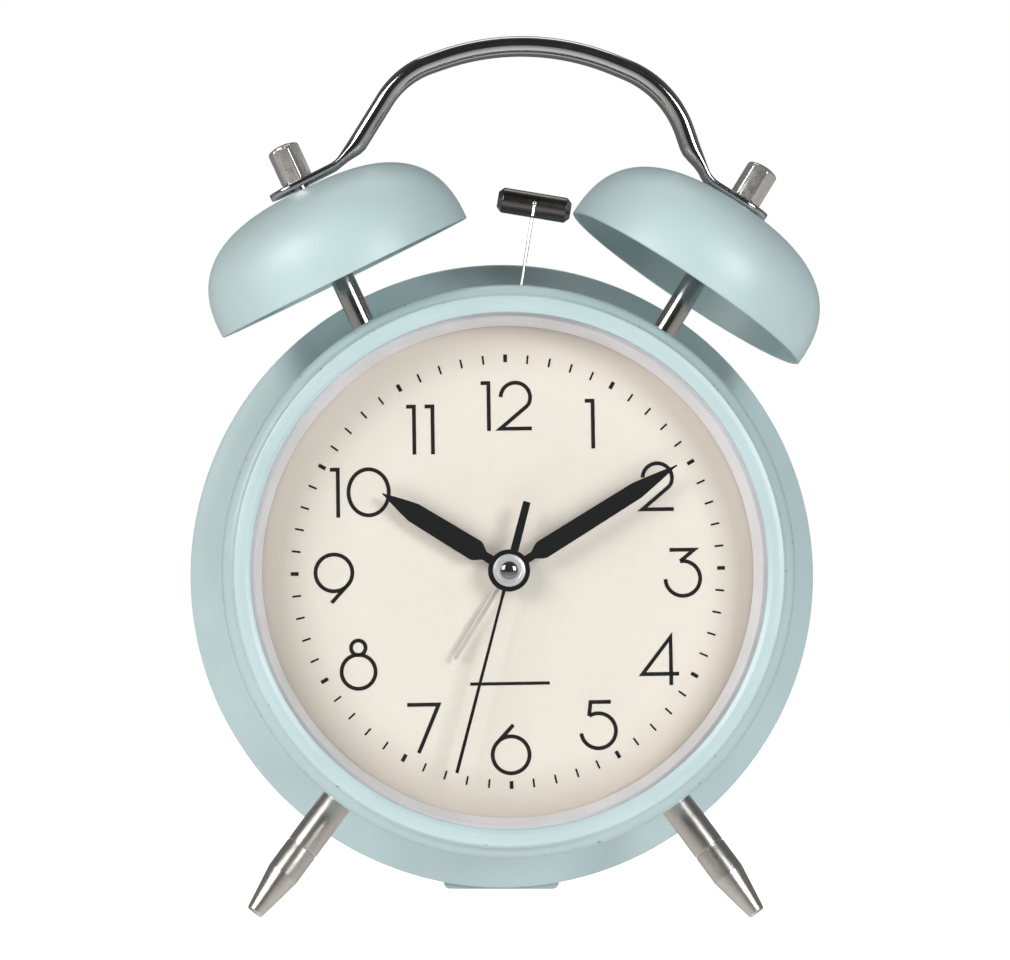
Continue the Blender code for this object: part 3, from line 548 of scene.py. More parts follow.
def satin_metal(name, color, metallic=0.6, roughness=0.4):
    """Metal with a fine, even grain."""
    finish = Finish(name, color, roughness, metallic)
    finish.tint(finish.shades(finish.noise(0.4, 2.0), 0.06))
    finish.vary_roughness(finish.noise(2.0, 2.0, offset=1.0), roughness - 0.05, roughness + 0.06)
    finish.bump(finish.noise(0.25, 2.0, offset=2.0), 0.0015, 0.3)
    return finish.mat


def moulded(name, color, roughness, pebble=0.35, depth=0.02):
    """Moulded plastic: fine spark texture and slight flow clouding."""
    finish = Finish(name, color, roughness)
    finish.tint(finish.shades(finish.noise(9.0, 3.0), 0.07))
    finish.vary_roughness(finish.noise(2.5, 2.0, offset=2.0), roughness - 0.06, roughness + 0.08)
    finish.bump(finish.noise(pebble, 2.0, offset=4.0), depth, 0.6)
    return finish.mat


def hand_enamel(name):
    finish = Finish(name, (0.003, 0.003, 0.003), 0.3)
    finish.set("Specular IOR Level", 0.06)
    dust = finish.ramp(finish.noise(0.35, 1.0, offset=3.0), [(0.70, 0.0), (0.78, 1.0)])
    finish.tint(finish.mix(finish.math("MULTIPLY", dust, 0.15), finish.color, (0.16, 0.16, 0.18)))
    finish.vary_roughness(finish.noise(1.5, 2.0), 0.26, 0.42)
    finish.bump(finish.noise(0.4, 2.0, offset=2.0), 0.006, 0.5)
    return finish.mat


def dial_card(name):
    """Printed cream card: soft mottling, fine fibres, and painted shade that makes it a little darker
    towards its edge, where the surround shades it.
    """
    finish = Finish(name, (0.715, 0.665, 0.592), 0.62)
    finish.set("Specular IOR Level", 0.3)
    color = finish.shades(finish.noise(16.0, 2.0), 0.012)
    fibres = finish.ramp(finish.noise(0.45, 3.0, (1.0, 0.35, 1.0), 2.0), [(0.35, 0.965), (0.65, 1.0)])
    color = finish.mix(1.0, color, fibres, "MULTIPLY")
    # Painted shade: the card is darkened towards its edge, standing in for the shade cast by the
    # surround's wall
    # The card is a CAD node, whose own axis isn't the dial's
    painted_edge_shade = finish.share(finish.radius(CENTRE_HEIGHT), 36.0, 46.5)
    edge = finish.ramp(painted_edge_shade, [(0.0, (1.0, 1.0, 1.0)), (1.0, (0.86, 0.83, 0.79))])
    finish.tint(finish.mix(1.0, color, edge, "MULTIPLY"))
    finish.bump(finish.noise(0.3, 3.0, offset=4.0), 0.008, 0.5)
    return finish.mat


def ink(name):
    finish = Finish(name, (0.007, 0.006, 0.005), 0.5)
    finish.set("Specular IOR Level", 0.05)
    finish.tint(finish.shades(finish.noise(0.8, 3.0), 0.3))
    finish.vary_roughness(finish.noise(0.6, 2.0, offset=1.0), 0.4, 0.6)
    return finish.mat


def clear_lens(name):
    finish = Finish(name, (0.30, 0.31, 0.31), 0.04)
    finish.set("Alpha", 0.02)
    finish.vary_roughness(finish.noise(8.0, 3.0), 0.02, 0.06)
    finish.bump(finish.noise(20.0, 1.0, offset=2.0), 0.004, 0.3)
    return finish.mat


def coil_wire(name):
    finish = Finish(name, (0.62, 0.28, 0.13), 0.35, 1.0)
    turns = finish.noise(0.3, 1.0, (1.0, 0.05, 0.05))
    finish.tint(finish.shades(turns, 0.3))
    finish.bump(turns, 0.05, 0.7)
    return finish.mat


PAINT_BELL = aqua_paint("aqua_enamel_bell", None, 0.25, 0.42)
PAINT_CASE = aqua_paint("aqua_enamel_case", (52.4, 53.1))
PAINT_BEZEL = aqua_paint("aqua_enamel_bezel", (50.35, 50.95))
CHROME = polished("chrome_strap", (0.60, 0.60, 0.61), 0.06, 0.14)
DARK_CHROME = polished("chrome_hammer", (0.20, 0.185, 0.18), 0.16, 0.3)
CAP_CHROME = polished("chrome_cap", (0.70, 0.70, 0.71), 0.05, 0.12)
CAP_DARK = polished("chrome_dome", (0.34, 0.34, 0.35), 0.08, 0.16)
POST_STEEL = turned_steel("post_steel", (0.52, 0.51, 0.50), 0.13, 0.17)
LEG_STEEL = turned_steel("leg_steel", (0.68, 0.65, 0.61), 0.27, 0.31)
BRUSHED = brushed_steel("brushed_steel")
ALARM_SATIN = satin_metal("alarm_satin", (0.72, 0.70, 0.66))
CAP_SATIN = satin_metal("cap_satin", (0.60, 0.60, 0.61))
NUT_STEEL = satin_metal("nut_steel", (0.68, 0.66, 0.63), 0.85, 0.24)
HAND = hand_enamel("hand_enamel")
RING_WHITE = moulded("ring_plastic", (0.745, 0.735, 0.775), 0.4, 0.5, 0.006)
WHITE = moulded("white_plastic", (0.78, 0.78, 0.79), 0.42)
COVER = moulded("cover_plastic", (0.40, 0.515, 0.525), 0.42, 0.4, 0.015)
BLACK = moulded("black_plastic", (0.022, 0.023, 0.025), 0.42, 0.35, 0.03)
INK_BLACK = ink("dial_ink")
CREAM = dial_card("dial_card")
LENS = clear_lens("lens_clear")
BRASS = polished("brass", (0.68, 0.48, 0.20), 0.2, 0.34)
COPPER = coil_wire("copper_wire")
BOARD = moulded("board_green", (0.03, 0.16, 0.06), 0.4, 0.8, 0.02)

# The CAD nodes that are shown as they are, by finish
CAD_FINISHES = {
    CREAM: ["dial"],
    LENS: ["lens"],
    BLACK: ["hammer_lever"],
    COPPER: ["drive_coil"],
    BOARD: ["circuit_board"],
    BRASS: ["minute_pinion", "battery_contact_positive", "battery_contact_negative"],
    BRUSHED: ["hammer_pivot_pin", "hammer_bracket", "bell_motor", "motor_crank", "stator", "rotor"]
    + [f"{side}_{part}_nut" for side in ("left", "right") for part in ("post", "leg")],
    WHITE: ["movement_front_plate", "movement_housing", "time_set_shaft", "alarm_set_shaft"]
    + [f"{name}_wheel" for name in ("motion", "hour", "alarm", "second", "intermediate")],
}


def finish_cad_nodes():
    for mat, names in CAD_FINISHES.items():
        for name in names:
            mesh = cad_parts[name].data
            mesh.materials.clear()
            mesh.materials.append(mat)


# ---------------------------------------------------------------- case and front


def flare_point(angle, offset=0.0):
    """A point of the flare's arc, whose centre is level with the waist, outside the case."""
    radius = FLARE_R + offset
    return (WAIST_R + FLARE_R - radius * cos(angle), WAIST_DEPTH + radius * sin(angle))


def neck_points(top_r, start, steps, offset=0.0):
    points = []
    for k in range(1, steps):
        share = k / steps
        drop = (1 + cos(pi * share)) / 2
        r = WAIST_R + (top_r - WAIST_R) * drop - offset
        points.append((r, start + (WAIST_DEPTH - start) * share))
    return points


def build_case():
    bead_r = LIP_R - FLANGE_R - 1.0
    bead_middle = LIP_R - bead_r
    bead = arc(bead_middle, LIP_DEPTH, bead_r, -90, 0, 10)
    neck_start = LIP_DEPTH + 1.2
    outer = [(FLANGE_R, FLANGE_DEPTH)] + bead + [(LIP_R, neck_start - 0.5)]
    outer += neck_points(LIP_R, neck_start, 20)
    rim_angle = acos((WAIST_R + FLARE_R - (REAR_RIM_R - RIM_ROLL_R)) / (FLARE_R + RIM_ROLL_R))
    outer += [flare_point(rim_angle * k / 26) for k in range(27)]
    roll_depth = flare_point(rim_angle, RIM_ROLL_R)[1]
    first = int(-rim_angle * 180 / pi)
    steps = (199 - first) // 12
    roll = arc(REAR_RIM_R - RIM_ROLL_R, roll_depth, RIM_ROLL_R, first, first + 12 * steps, steps)
    inner_last = rim_angle - 0.06
    inner = [flare_point(inner_last * (1 - k / 20), SHEET) for k in range(21)]
    inner += neck_points(LIP_R, neck_start, 14, SHEET)[::-1]
    inner += [(LIP_R - SHEET, LIP_DEPTH + 0.2)]
    inner += arc(bead_middle, LIP_DEPTH, bead_r - SHEET, -15, -90, 5)
    inner += [(FLANGE_R, FLANGE_DEPTH + SHEET)]
    profile = [(r, -d) for r, d in outer + roll[1:] + inner]
    shell = piece("shell", lathe(profile, 192), PAINT_CASE, shifted(), CASE, ["case_shell"])
    slot = [(x - 0.1, z) for x, z in arc(2.6, 0, 1.5, -90, 90, 8) + arc(-2.2, 0, 1.5, 90, 270, 8)]
    cut(shell, prism(slot, 44, 54), shifted(0, 0, -HAMMER_DEPTH) @ turn(-pi / 2, "X"))


def build_front():
    crown = 0.28
    face = rounded_profile(
        [
            (BEZEL_OPENING_R, -BEZEL_BACK, 0),
            (BEZEL_OPENING_R, -0.55, 0.3),
            (BEZEL_OPENING_R + 0.9, -crown * 0.4, 0.8),
            (BEZEL_OPENING_R + 1.9, 0.0, 2.0),
            (BEZEL_R - 0.5, -crown * 0.6, 0.5),
            (BEZEL_R, -0.95, 0.4),
            (BEZEL_R, -BEZEL_BACK, 0.2),
        ],
        6,
    )
    bm = lathe(face, 192)
    piece("bezel", bm, PAINT_BEZEL, shifted(), CASE, ["front_bezel"])

    front, back = RING_DEPTHS
    ring = [(46.9, front), (47.9, front), (47.9, front + 1.0), (47.0, front + 1.4)]
    ring += [(47.0, back), (DIAL_VISIBLE_R, back)]
    ring += [(DIAL_VISIBLE_R + 0.02, back - 0.25), (DIAL_VISIBLE_R + 0.12, back - 0.5)]
    bm = lathe([(r, -d) for r, d in ring], 160)
    piece("dial_surround", bm, RING_WHITE, shifted(), CASE, ["dial_ring"])


# ---------------------------------------------------------------- dial print

# Each numeral is a list of strokes in a box about its centre. An arc is (cx, cy, rx, ry, start, end).
NUMERAL_HEIGHT = 9.3
HALF = (NUMERAL_HEIGHT - STROKE) / 2
GLYPHS = {
    "0": [("arc", 0.0, 0.0, 3.75, HALF, 0, 360)],
    "1": [("line", (-1.45, HALF), (0.0, HALF), (0.0, -HALF - STROKE / 2))],
    "2": [("arc", 0.0, 1.55, 2.75, 2.75, 178, -33), ("line", (2.31, 0.05), (-2.9, -HALF), (3.0, -HALF))],
    "3": [("line", (-2.3, HALF), (2.3, HALF), (-0.35, 2.15)), ("arc", 0.1, -1.05, 3.25, 3.25, 98, -178)],
    "4": [("line", (1.95, -HALF - STROKE / 2), (1.95, HALF), (-3.4, -2.55), (3.45, -2.55))],
    "5": [("line", (2.5, HALF), (-1.3, HALF), (-1.6, 1.7)), ("arc", 0.1, -1.05, 3.25, 3.25, 121, -172)],
    "6": [("arc", 0.0, -0.9, 3.42, 3.42, 0, 360), ("line", (0.5, HALF + 0.35), (-2.75, 1.13))],
    "7": [("line", (-2.95, HALF), (2.9, HALF), (-0.9, -HALF - STROKE / 2))],
    "8": [("arc", 0.0, 3.15, 1.35, 1.35, 0, 360), ("arc", 0.0, -1.3, 3.15, 3.15, 0, 360)],
    "9": [("arc", 0.0, 0.9, 3.42, 3.42, 0, 360), ("line", (-0.5, -HALF - 0.35), (2.75, -1.13))],
}
ADVANCE = {"10": (-4.1, 1.6), "11": (-1.35, 2.1), "12": (-3.2, 1.8)}


def stroke_points(stroke):
    if stroke[0] == "line":
        return [Vector(p) for p in stroke[1:]], False
    _, cx, cy, rx, ry, start, end = stroke
    closed = end - start == 360
    steps = 48 if closed else 30
    angles = [radians(start + (end - start) * k / steps) for k in range(steps + (not closed))]
    return [Vector((cx + rx * cos(a), cy + ry * sin(a))) for a in angles], closed


def ribbon(bm, points, closed, width, place):
    """A flat ribbon along a polyline, mitred at its corners, as a thin closed solid."""
    count = len(points)
    sides = []
    for k, p in enumerate(points):
        before = points[k - 1] if (closed or k > 0) else None
        after = points[(k + 1) % count] if (closed or k < count - 1) else None
        into = (p - before).normalized() if before is not None else None
        out = (after - p).normalized() if after is not None else None
        into = into if into is not None else out
        out = out if out is not None else into
        normal = Vector((-into.y - out.y, into.x + out.x)).normalized()
        reach = width / 2 / max(0.35, normal.dot(Vector((-into.y, into.x))))
        sides.append((p + normal * reach, p - normal * reach))
    rings = []
    for left, right in sides:
        section = ((left, 0), (right, 0), (right, INK), (left, INK))
        rings.append([bm.verts.new(place @ Vector((q.x, q.y, z))) for q, z in section])
    skin(bm, rings + rings[:1] if closed else rings, not closed)


# The numerals stand on a ring a little below the dial's axis, and the wide ones nearer its middle
NUMERAL_R = 32.4
WIDE_NUMERAL_R = 31.6
NUMERAL_DROP = 0.8


def build_print():
    card = at_depth(0, 0, DIAL_DEPTH + 0.01) @ turn(PRINT_TURN, "Z")
    bm = bmesh.new()
    for number in range(1, 13):
        text = str(number)
        radius = NUMERAL_R if len(text) == 1 else WIDE_NUMERAL_R
        angle = radians(30 * number)
        centre = Vector((radius * sin(angle), radius * cos(angle) - NUMERAL_DROP, 0))
        for digit, offset in zip(text, ADVANCE.get(text, (0.0,))):
            place = Matrix.Translation(centre + Vector((offset, 0, 0)))
            for stroke in GLYPHS[digit]:
                points, closed = stroke_points(stroke)
                ribbon(bm, points, closed, STROKE, place)
    piece("numerals", bm, INK_BLACK, card, CASE)

    bm = bmesh.new()
    for k in range(60):
        hour = k % 5 == 0
        length, width = (1.45, 0.7) if hour else (1.65, 0.36)
        place = Matrix.Rotation(-2 * pi * k / 60, 4, "Z")
        ribbon(bm, [Vector((0, TRACK_R - length)), Vector((0, TRACK_R))], False, width, place)
    piece("minute_track", bm, INK_BLACK, card, CASE)

    bm = bmesh.new()
    ribbon(bm, [Vector((-7.4, -20.9)), Vector((7.4, -20.9))], False, 0.6, Matrix.Identity(4))
    piece("dial_bar", bm, INK_BLACK, card, CASE)


# ---------------------------------------------------------------- bells, posts, nuts, handle, legs


def bell_curve(radius, height, steps):
    points = []
    for k in range(steps + 1):
        a = pi / 2 * k / steps
        points.append((radius * cos(a) ** (2 / BELL_POWER), height * sin(a) ** (2 / BELL_POWER) - height))
    return points


def build_bells():
    hole = THREAD_R + 0.5
    for side in SIDES:
        outer = bell_curve(BELL_R, BELL_HEIGHT, 40)[:-1]
        inner = bell_curve(BELL_R - BELL_WALL, BELL_HEIGHT - BELL_WALL, 40)[:-1]
        inner = [(r, z - BELL_WALL) for r, z in inner]
        outer = [(BELL_R - 0.28, -BELL_HEIGHT), (BELL_R - 0.06, -BELL_HEIGHT + 0.12)] + outer[1:]
        inner = [(r, max(z, -BELL_HEIGHT + 0.25)) for r, z in inner]
        inner = [(BELL_R - BELL_WALL + 0.25, -BELL_HEIGHT)] + inner
        profile = [p for p in outer if p[0] > hole] + [(hole, 0.0), (hole, -BELL_WALL)]
        profile += [p for p in inner if p[0] > hole][::-1]
        bm = lathe(profile)
        piece(f"bell_{side}", bm, PAINT_BELL, bell_frame(side), CASE, [f"{side}_bell"])


def post_foot(side):
    """How far down the post's axis the waist lies, and the slope of its skin across the post."""
    x, up = SIDES[side]["seat"]
    lean = radians(SIDES[side]["post"])
    along = -x * sin(lean) + (GEAR_HEIGHT + (up - GEAR_HEIGHT) * cos(GEAR_TIP)) * cos(lean)
    length = along - sqrt(along**2 - (x**2 + up**2 - WAIST_R**2))
    foot_x = x + length * sin(lean)
    foot_up = up - length * cos(lean)
    return length, lean - atan2(-foot_x, foot_up)


def build_posts():
    for side in SIDES:
        length, slope = post_foot(side)
        shoulder = -length + GAP + 0.5
        top = -BELL_WALL - GAP - 0.1
        profile = rounded_profile(
            [
                (0, shoulder - 6.0, 0),
                (THREAD_R, shoulder - 6.0, 0.2),
                (THREAD_R, shoulder, 0),
                (POST_R, shoulder, 0),
                (POST_R, top, 0.3),
                (THREAD_R, top, 0),
                (THREAD_R, 5.2, 0.2),
                (0, 5.2, 0),
            ]
        )
        bm = lathe(profile, 48)
        for vert in bm.verts:
            if abs(vert.co.z - shoulder) < 1e-6:
                vert.co.z += vert.co.x * tan(slope)
        at = post_frame(side)
        piece(f"post_{side}", bm, POST_STEEL, at, CASE, [f"{side}_bell_post"])


def hex_radius(angle):
    """Radius of the nut's hexagon in a direction, with its corners slightly broken."""
    local = (angle + radians(13) + pi / 6) % (pi / 3) - pi / 6
    return min(NUT_FLATS / 2 / cos(pi / 6 - abs(local)), NUT_FLATS / 2 / cos(pi / 6) - 0.06)


def build_cap_nuts():
    bottom = HANDLE_FOOT_THICK + 2 * GAP
    top = bottom + NUT_HEIGHT
    corner = NUT_FLATS / 2 / cos(pi / 6)
    # (height, limit of the radius): a small chamfer below, a turned dome above
    levels = [(bottom, corner - 0.35), (bottom + 0.25, corner), (top - 1.35, corner)]
    for degrees in range(15, 90, 15):
        a = radians(degrees)
        levels.append((top - 1.35 + sin(a), corner - 0.95 * (1 - cos(a))))
    levels += [(top - 0.2, corner - 1.25), (top - 0.05, corner - 1.9), (top, corner - 2.6)]
    angles = [2 * pi * k / 96 for k in range(96)]
    for side in SIDES:
        bm = bmesh.new()
        rings = []
        for z, limit in levels:
            reaches = [(a, min(limit, hex_radius(a))) for a in angles]
            rings.append([bm.verts.new((r * cos(a), r * sin(a), z)) for a, r in reaches])
        skin(bm, rings)
        at = post_frame(side)
        nodes = [f"{side}_cap_nut"]
        nut = piece(f"cap_nut_{side}", bm, NUT_STEEL, at, CASE, nodes, 24)
        cut(nut, prism(circle(THREAD_R + 0.1, 32), bottom - 2, 5.6), at)


def rounded_path(corners, steps):
    """An open line of (x, y, fillet) corners, rounded evenly."""
    points = [Vector(corners[0][:2])]
    for before, here, after in zip(corners, corners[1:], corners[2:]):
        start, end, centre, half = fillet(before, here, after)
        first = start - centre
        sweep = pi - 2 * half
        sign = 1 if first.cross(end - centre) > 0 else -1
        for k in range(steps + 1):
            points.append(centre + Matrix.Rotation(sign * sweep * k / steps, 2) @ first)
    points.append(Vector(corners[-1][:2]))
    return points


def fill_path(points, step):
    """Extra points along the long straight stretches."""
    line = [points[0]]
    for near, far in zip(points, points[1:]):
        parts = max(1, int((far - near).length / step))
        line += [near.lerp(far, k / parts) for k in range(1, parts + 1)]
    return line


def strap_section(width, thick):
    """The strap's cross-section, (across, through): nearly round edges and a flat middle."""
    across, through = (-width / 2, width / 2), (-thick / 2, thick / 2)
    return rounded_box(across, through, min(thick * 0.46, width * 0.3), 8)


def build_handle():
    path = rounded_path(HANDLE_CORNERS, 20)
    reach = HANDLE_FOOT_WIDTH / 2
    line = fill_path(path, 1.2)
    ends = []
    for end, inner in ((0, 1), (-1, -2)):
        run = (path[inner] - path[end]).normalized()
        extra = [path[end] + run * reach * (1 - cos(radians(a))) for a in (6, 14, 24, 36, 50, 64, 78, 90)]
        ends.append(extra if end == 0 else extra[::-1])
    first, last = path[0], path[-1]
    middle = [p for p in line if min((p - first).length, (p - last).length) > reach + 0.2]
    line = ends[0] + middle + ends[1]
    plane = shifted(0, GEAR_HEIGHT, -WAIST_DEPTH) @ turn(GEAR_TIP, "X") @ shifted(0, -GEAR_HEIGHT, 0)
    bm = bmesh.new()
    rings = []
    for k, p in enumerate(line):
        from_end = min((p - first).length, (p - last).length)
        tip = sqrt(max(0.0, 1 - max(0.0, 1 - from_end / reach) ** 2))
        blend = min(1.0, max(0.0, (from_end - 14.0) / 5.0))
        blend = blend * blend * (3 - 2 * blend)
        width = (HANDLE_FOOT_WIDTH + (HANDLE_WIDTH - HANDLE_FOOT_WIDTH) * blend) * tip
        thick = HANDLE_FOOT_THICK + (HANDLE_THICK - HANDLE_FOOT_THICK) * blend
        along = (line[min(k + 1, len(line) - 1)] - line[max(k - 1, 0)]).normalized()
        down = Vector((along.y, -along.x))
        ring = []
        for across, depth in strap_section(width, thick):
            spot = p + down * (depth + thick / 2)
            ring.append(bm.verts.new((spot.x, spot.y, across)))
        rings.append(ring)
    skin(bm, rings)
    strap = piece("strap_handle", bm, CHROME, plane, CASE, ["handle"], 40)
    for side in SIDES:
        cut(strap, prism(circle(THREAD_R + GAP, 32), -2, 6), post_frame(side))


def build_legs():
    fall = cos(LEG_ANGLE) * cos(LEG_LEAN)
    drop = CENTRE_HEIGHT - WAIST_R * cos(LEG_ANGLE) - LEG_TIP_R * sqrt(1 - fall**2)
    tip = WAIST_R + drop / fall
    start = WAIST_R + GAP + 0.7 + LEG_R * sin(LEG_LEAN)
    stud = start - LEG_STUD_LENGTH
    for side, sign in (("left", 1), ("right", -1)):
        profile = rounded_profile(
            [
                (0, stud, 0),
                (LEG_STUD_R, stud, 0.2),
                (LEG_STUD_R, start, 0),
                (LEG_R, start, 0.25),
                (LEG_R, LEG_GROOVE - 0.22, 0.08),
                (LEG_R - 0.2, LEG_GROOVE - 0.04, 0.03),
                (LEG_R - 0.2, LEG_GROOVE + 0.04, 0.03),
                (LEG_R, LEG_GROOVE + 0.22, 0.08),
                (LEG_R, LEG_GROOVE + 6.0, 1.0),
                (LEG_TIP_R + 0.05, tip - 0.35, 0.1),
                (LEG_TIP_R - 0.2, tip, 0.05),
                (0, tip, 0),
            ],
            6,
        )
        bm = lathe(profile, 64)
        piece(f"leg_{side}", bm, LEG_STEEL, leg_frame(sign), CASE, [f"{side}_leg"])


# ---------------------------------------------------------------- hammer


def build_hammer():
    pivot = at_depth(*HAMMER_PIVOT, HAMMER_DEPTH) @ turn(-HAMMER_LEAN, "Z")
    half = HAMMER_HEAD_LENGTH / 2
    profile = rounded_profile(
        [
            (0, -half, 0),
            (HAMMER_HEAD_R - 0.95, -half, 0.15),
            (HAMMER_HEAD_R, -half + 0.95, 0.15),
            (HAMMER_HEAD_R, half - 0.95, 0.15),
            (HAMMER_HEAD_R - 0.95, half, 0.15),
            (0, half, 0),
        ]
    )
    head = lathe(profile, 64)
    at = pivot @ shifted(0, HAMMER_ARM, 0) @ turn(pi / 2, "Y")
    piece("hammer_cylinder", head, DARK_CHROME, at, "hammer", ["hammer_head"])

    top = HAMMER_ARM - 1.0
    wire = rounded_profile([(0, 5.5, 0), (WIRE_R, 5.5, 0.1), (WIRE_R, top, 0.1), (0, top, 0)], 3)
    at = pivot @ turn(-pi / 2, "X")
    piece("hammer_wire", lathe(wire, 20), CAP_CHROME, at, "hammer", ["hammer_arm"])

    # The wire is peened over in front of the head
    bead = lathe([(0, 2.15)] + arc(0, 2.15, 0.55, 0, 90, 6)[:-1] + [(0, 2.7)], 20)
    piece("hammer_rivet", bead, CAP_CHROME, pivot @ shifted(0, HAMMER_ARM, 0), "hammer")
    front = lathe([(0, -HAMMER_HEAD_R), (0.34, -HAMMER_HEAD_R), (0.34, 0.2), (0, 0.2)], 16)
    place = pivot @ shifted(0, HAMMER_ARM, HAMMER_HEAD_R - 0.15) @ turn(-pi / 2, "X")
    piece("hammer_wire_end", front, CAP_CHROME, place, "hammer")


# ---------------------------------------------------------------- hands


def blade_outline(hub, stem, shoulder, width, taper, length):
    """A hand: a round hub, a thin stem, a sloped shoulder and a blade with curved sides and a point."""
    gap = asin(stem / 2 / hub)
    ring = arc(0, 0, hub, 90 - gap * 180 / pi, -270 + gap * 180 / pi, 64)
    left = [(-stem / 2, shoulder - 1.0)]
    left += [(-width / 2 + 0.2, shoulder + 0.35), (-width / 2, shoulder + 0.9)]
    left += [(-width / 2 * 0.97, (shoulder + taper) / 2)]
    steps = 12
    for k in range(steps + 1):
        share = k / steps
        half = width / 2 * 0.92 * (1 - share) ** 0.85
        left.append((-max(half, 0.14), taper + (length - taper) * share))
    right = [(-x, y) for x, y in left[::-1]]
    return ring + left + right


def build_hand(name, outline, mat, at, bore, edge, group):
    """A flat hand with its bore. Its body is named after the CAD node that it stands for."""
    blade = prism(outline, -BLADE, 0)
    obj = piece(name, blade, mat, at, f"{group}_group", [group])
    cut(obj, prism(circle(bore, 32), -2, 2), at)
    bevel(obj, edge)


def build_hands():
    outline = blade_outline(3.9, 1.5, 6.3, 3.5, 28.0, 36.8)
    at = hand_frame(MINUTE_ANGLE, MINUTE_DEPTH)
    build_hand("minute_blade", outline, HAND, at, 1.1, 0.09, "minute_hand")
    outline = blade_outline(3.5, 1.7, 6.3, 4.0, 20.7, 27.4)
    at = hand_frame(HOUR_ANGLE, HOUR_DEPTH)
    build_hand("hour_blade", outline, HAND, at, 1.65, 0.09, "hour_hand")
    outline = arc(0, 0, 3.0, 82, -262, 48) + [(-0.42, 19.2), (0.42, 19.2)]
    at = hand_frame(ALARM_ANGLE, ALARM_DEPTH)
    build_hand("alarm_pointer", outline, ALARM_SATIN, at, 2.2, 0.08, "alarm_hand")
    hub = 1.9
    outline = arc(0, 0, hub, 78, -66, 20) + [(0.7, -13.1), (-0.7, -13.1)] + arc(0, 0, hub, -114, -258, 20)
    outline += [(-0.26, 6.0), (-0.32, 38.5), (0.32, 38.5), (0.26, 6.0)]
    at = hand_frame(SECOND_ANGLE, SECOND_DEPTH)
    build_hand("second_blade", outline, HAND, at, 0.55, 0.07, "second_hand")

    # A chrome cap: a flat rim, a groove and a low dome
    corners = [(0, 0.05, 0), (3.0, 0.05, 0.05), (3.0, 0.42, 0.15), (2.3, 0.55, 0.1), (2.1, 0.42, 0)]
    rim = lathe(rounded_profile(corners, 4) + [(0, 0.42)], 96)
    piece("cap_rim", rim, CAP_SATIN, at, "second_hand_group", ["second_hand_cap"])
    dome = [(1.7 * cos(radians(a)), 0.42 + 0.73 * sin(radians(a))) for a in range(0, 90, 6)]
    bm = lathe([(0, 0.40)] + dome + [(0, 1.15)], 96)
    piece("cap_dome", bm, CAP_DARK, at, "second_hand_group")


# ---------------------------------------------------------------- rear


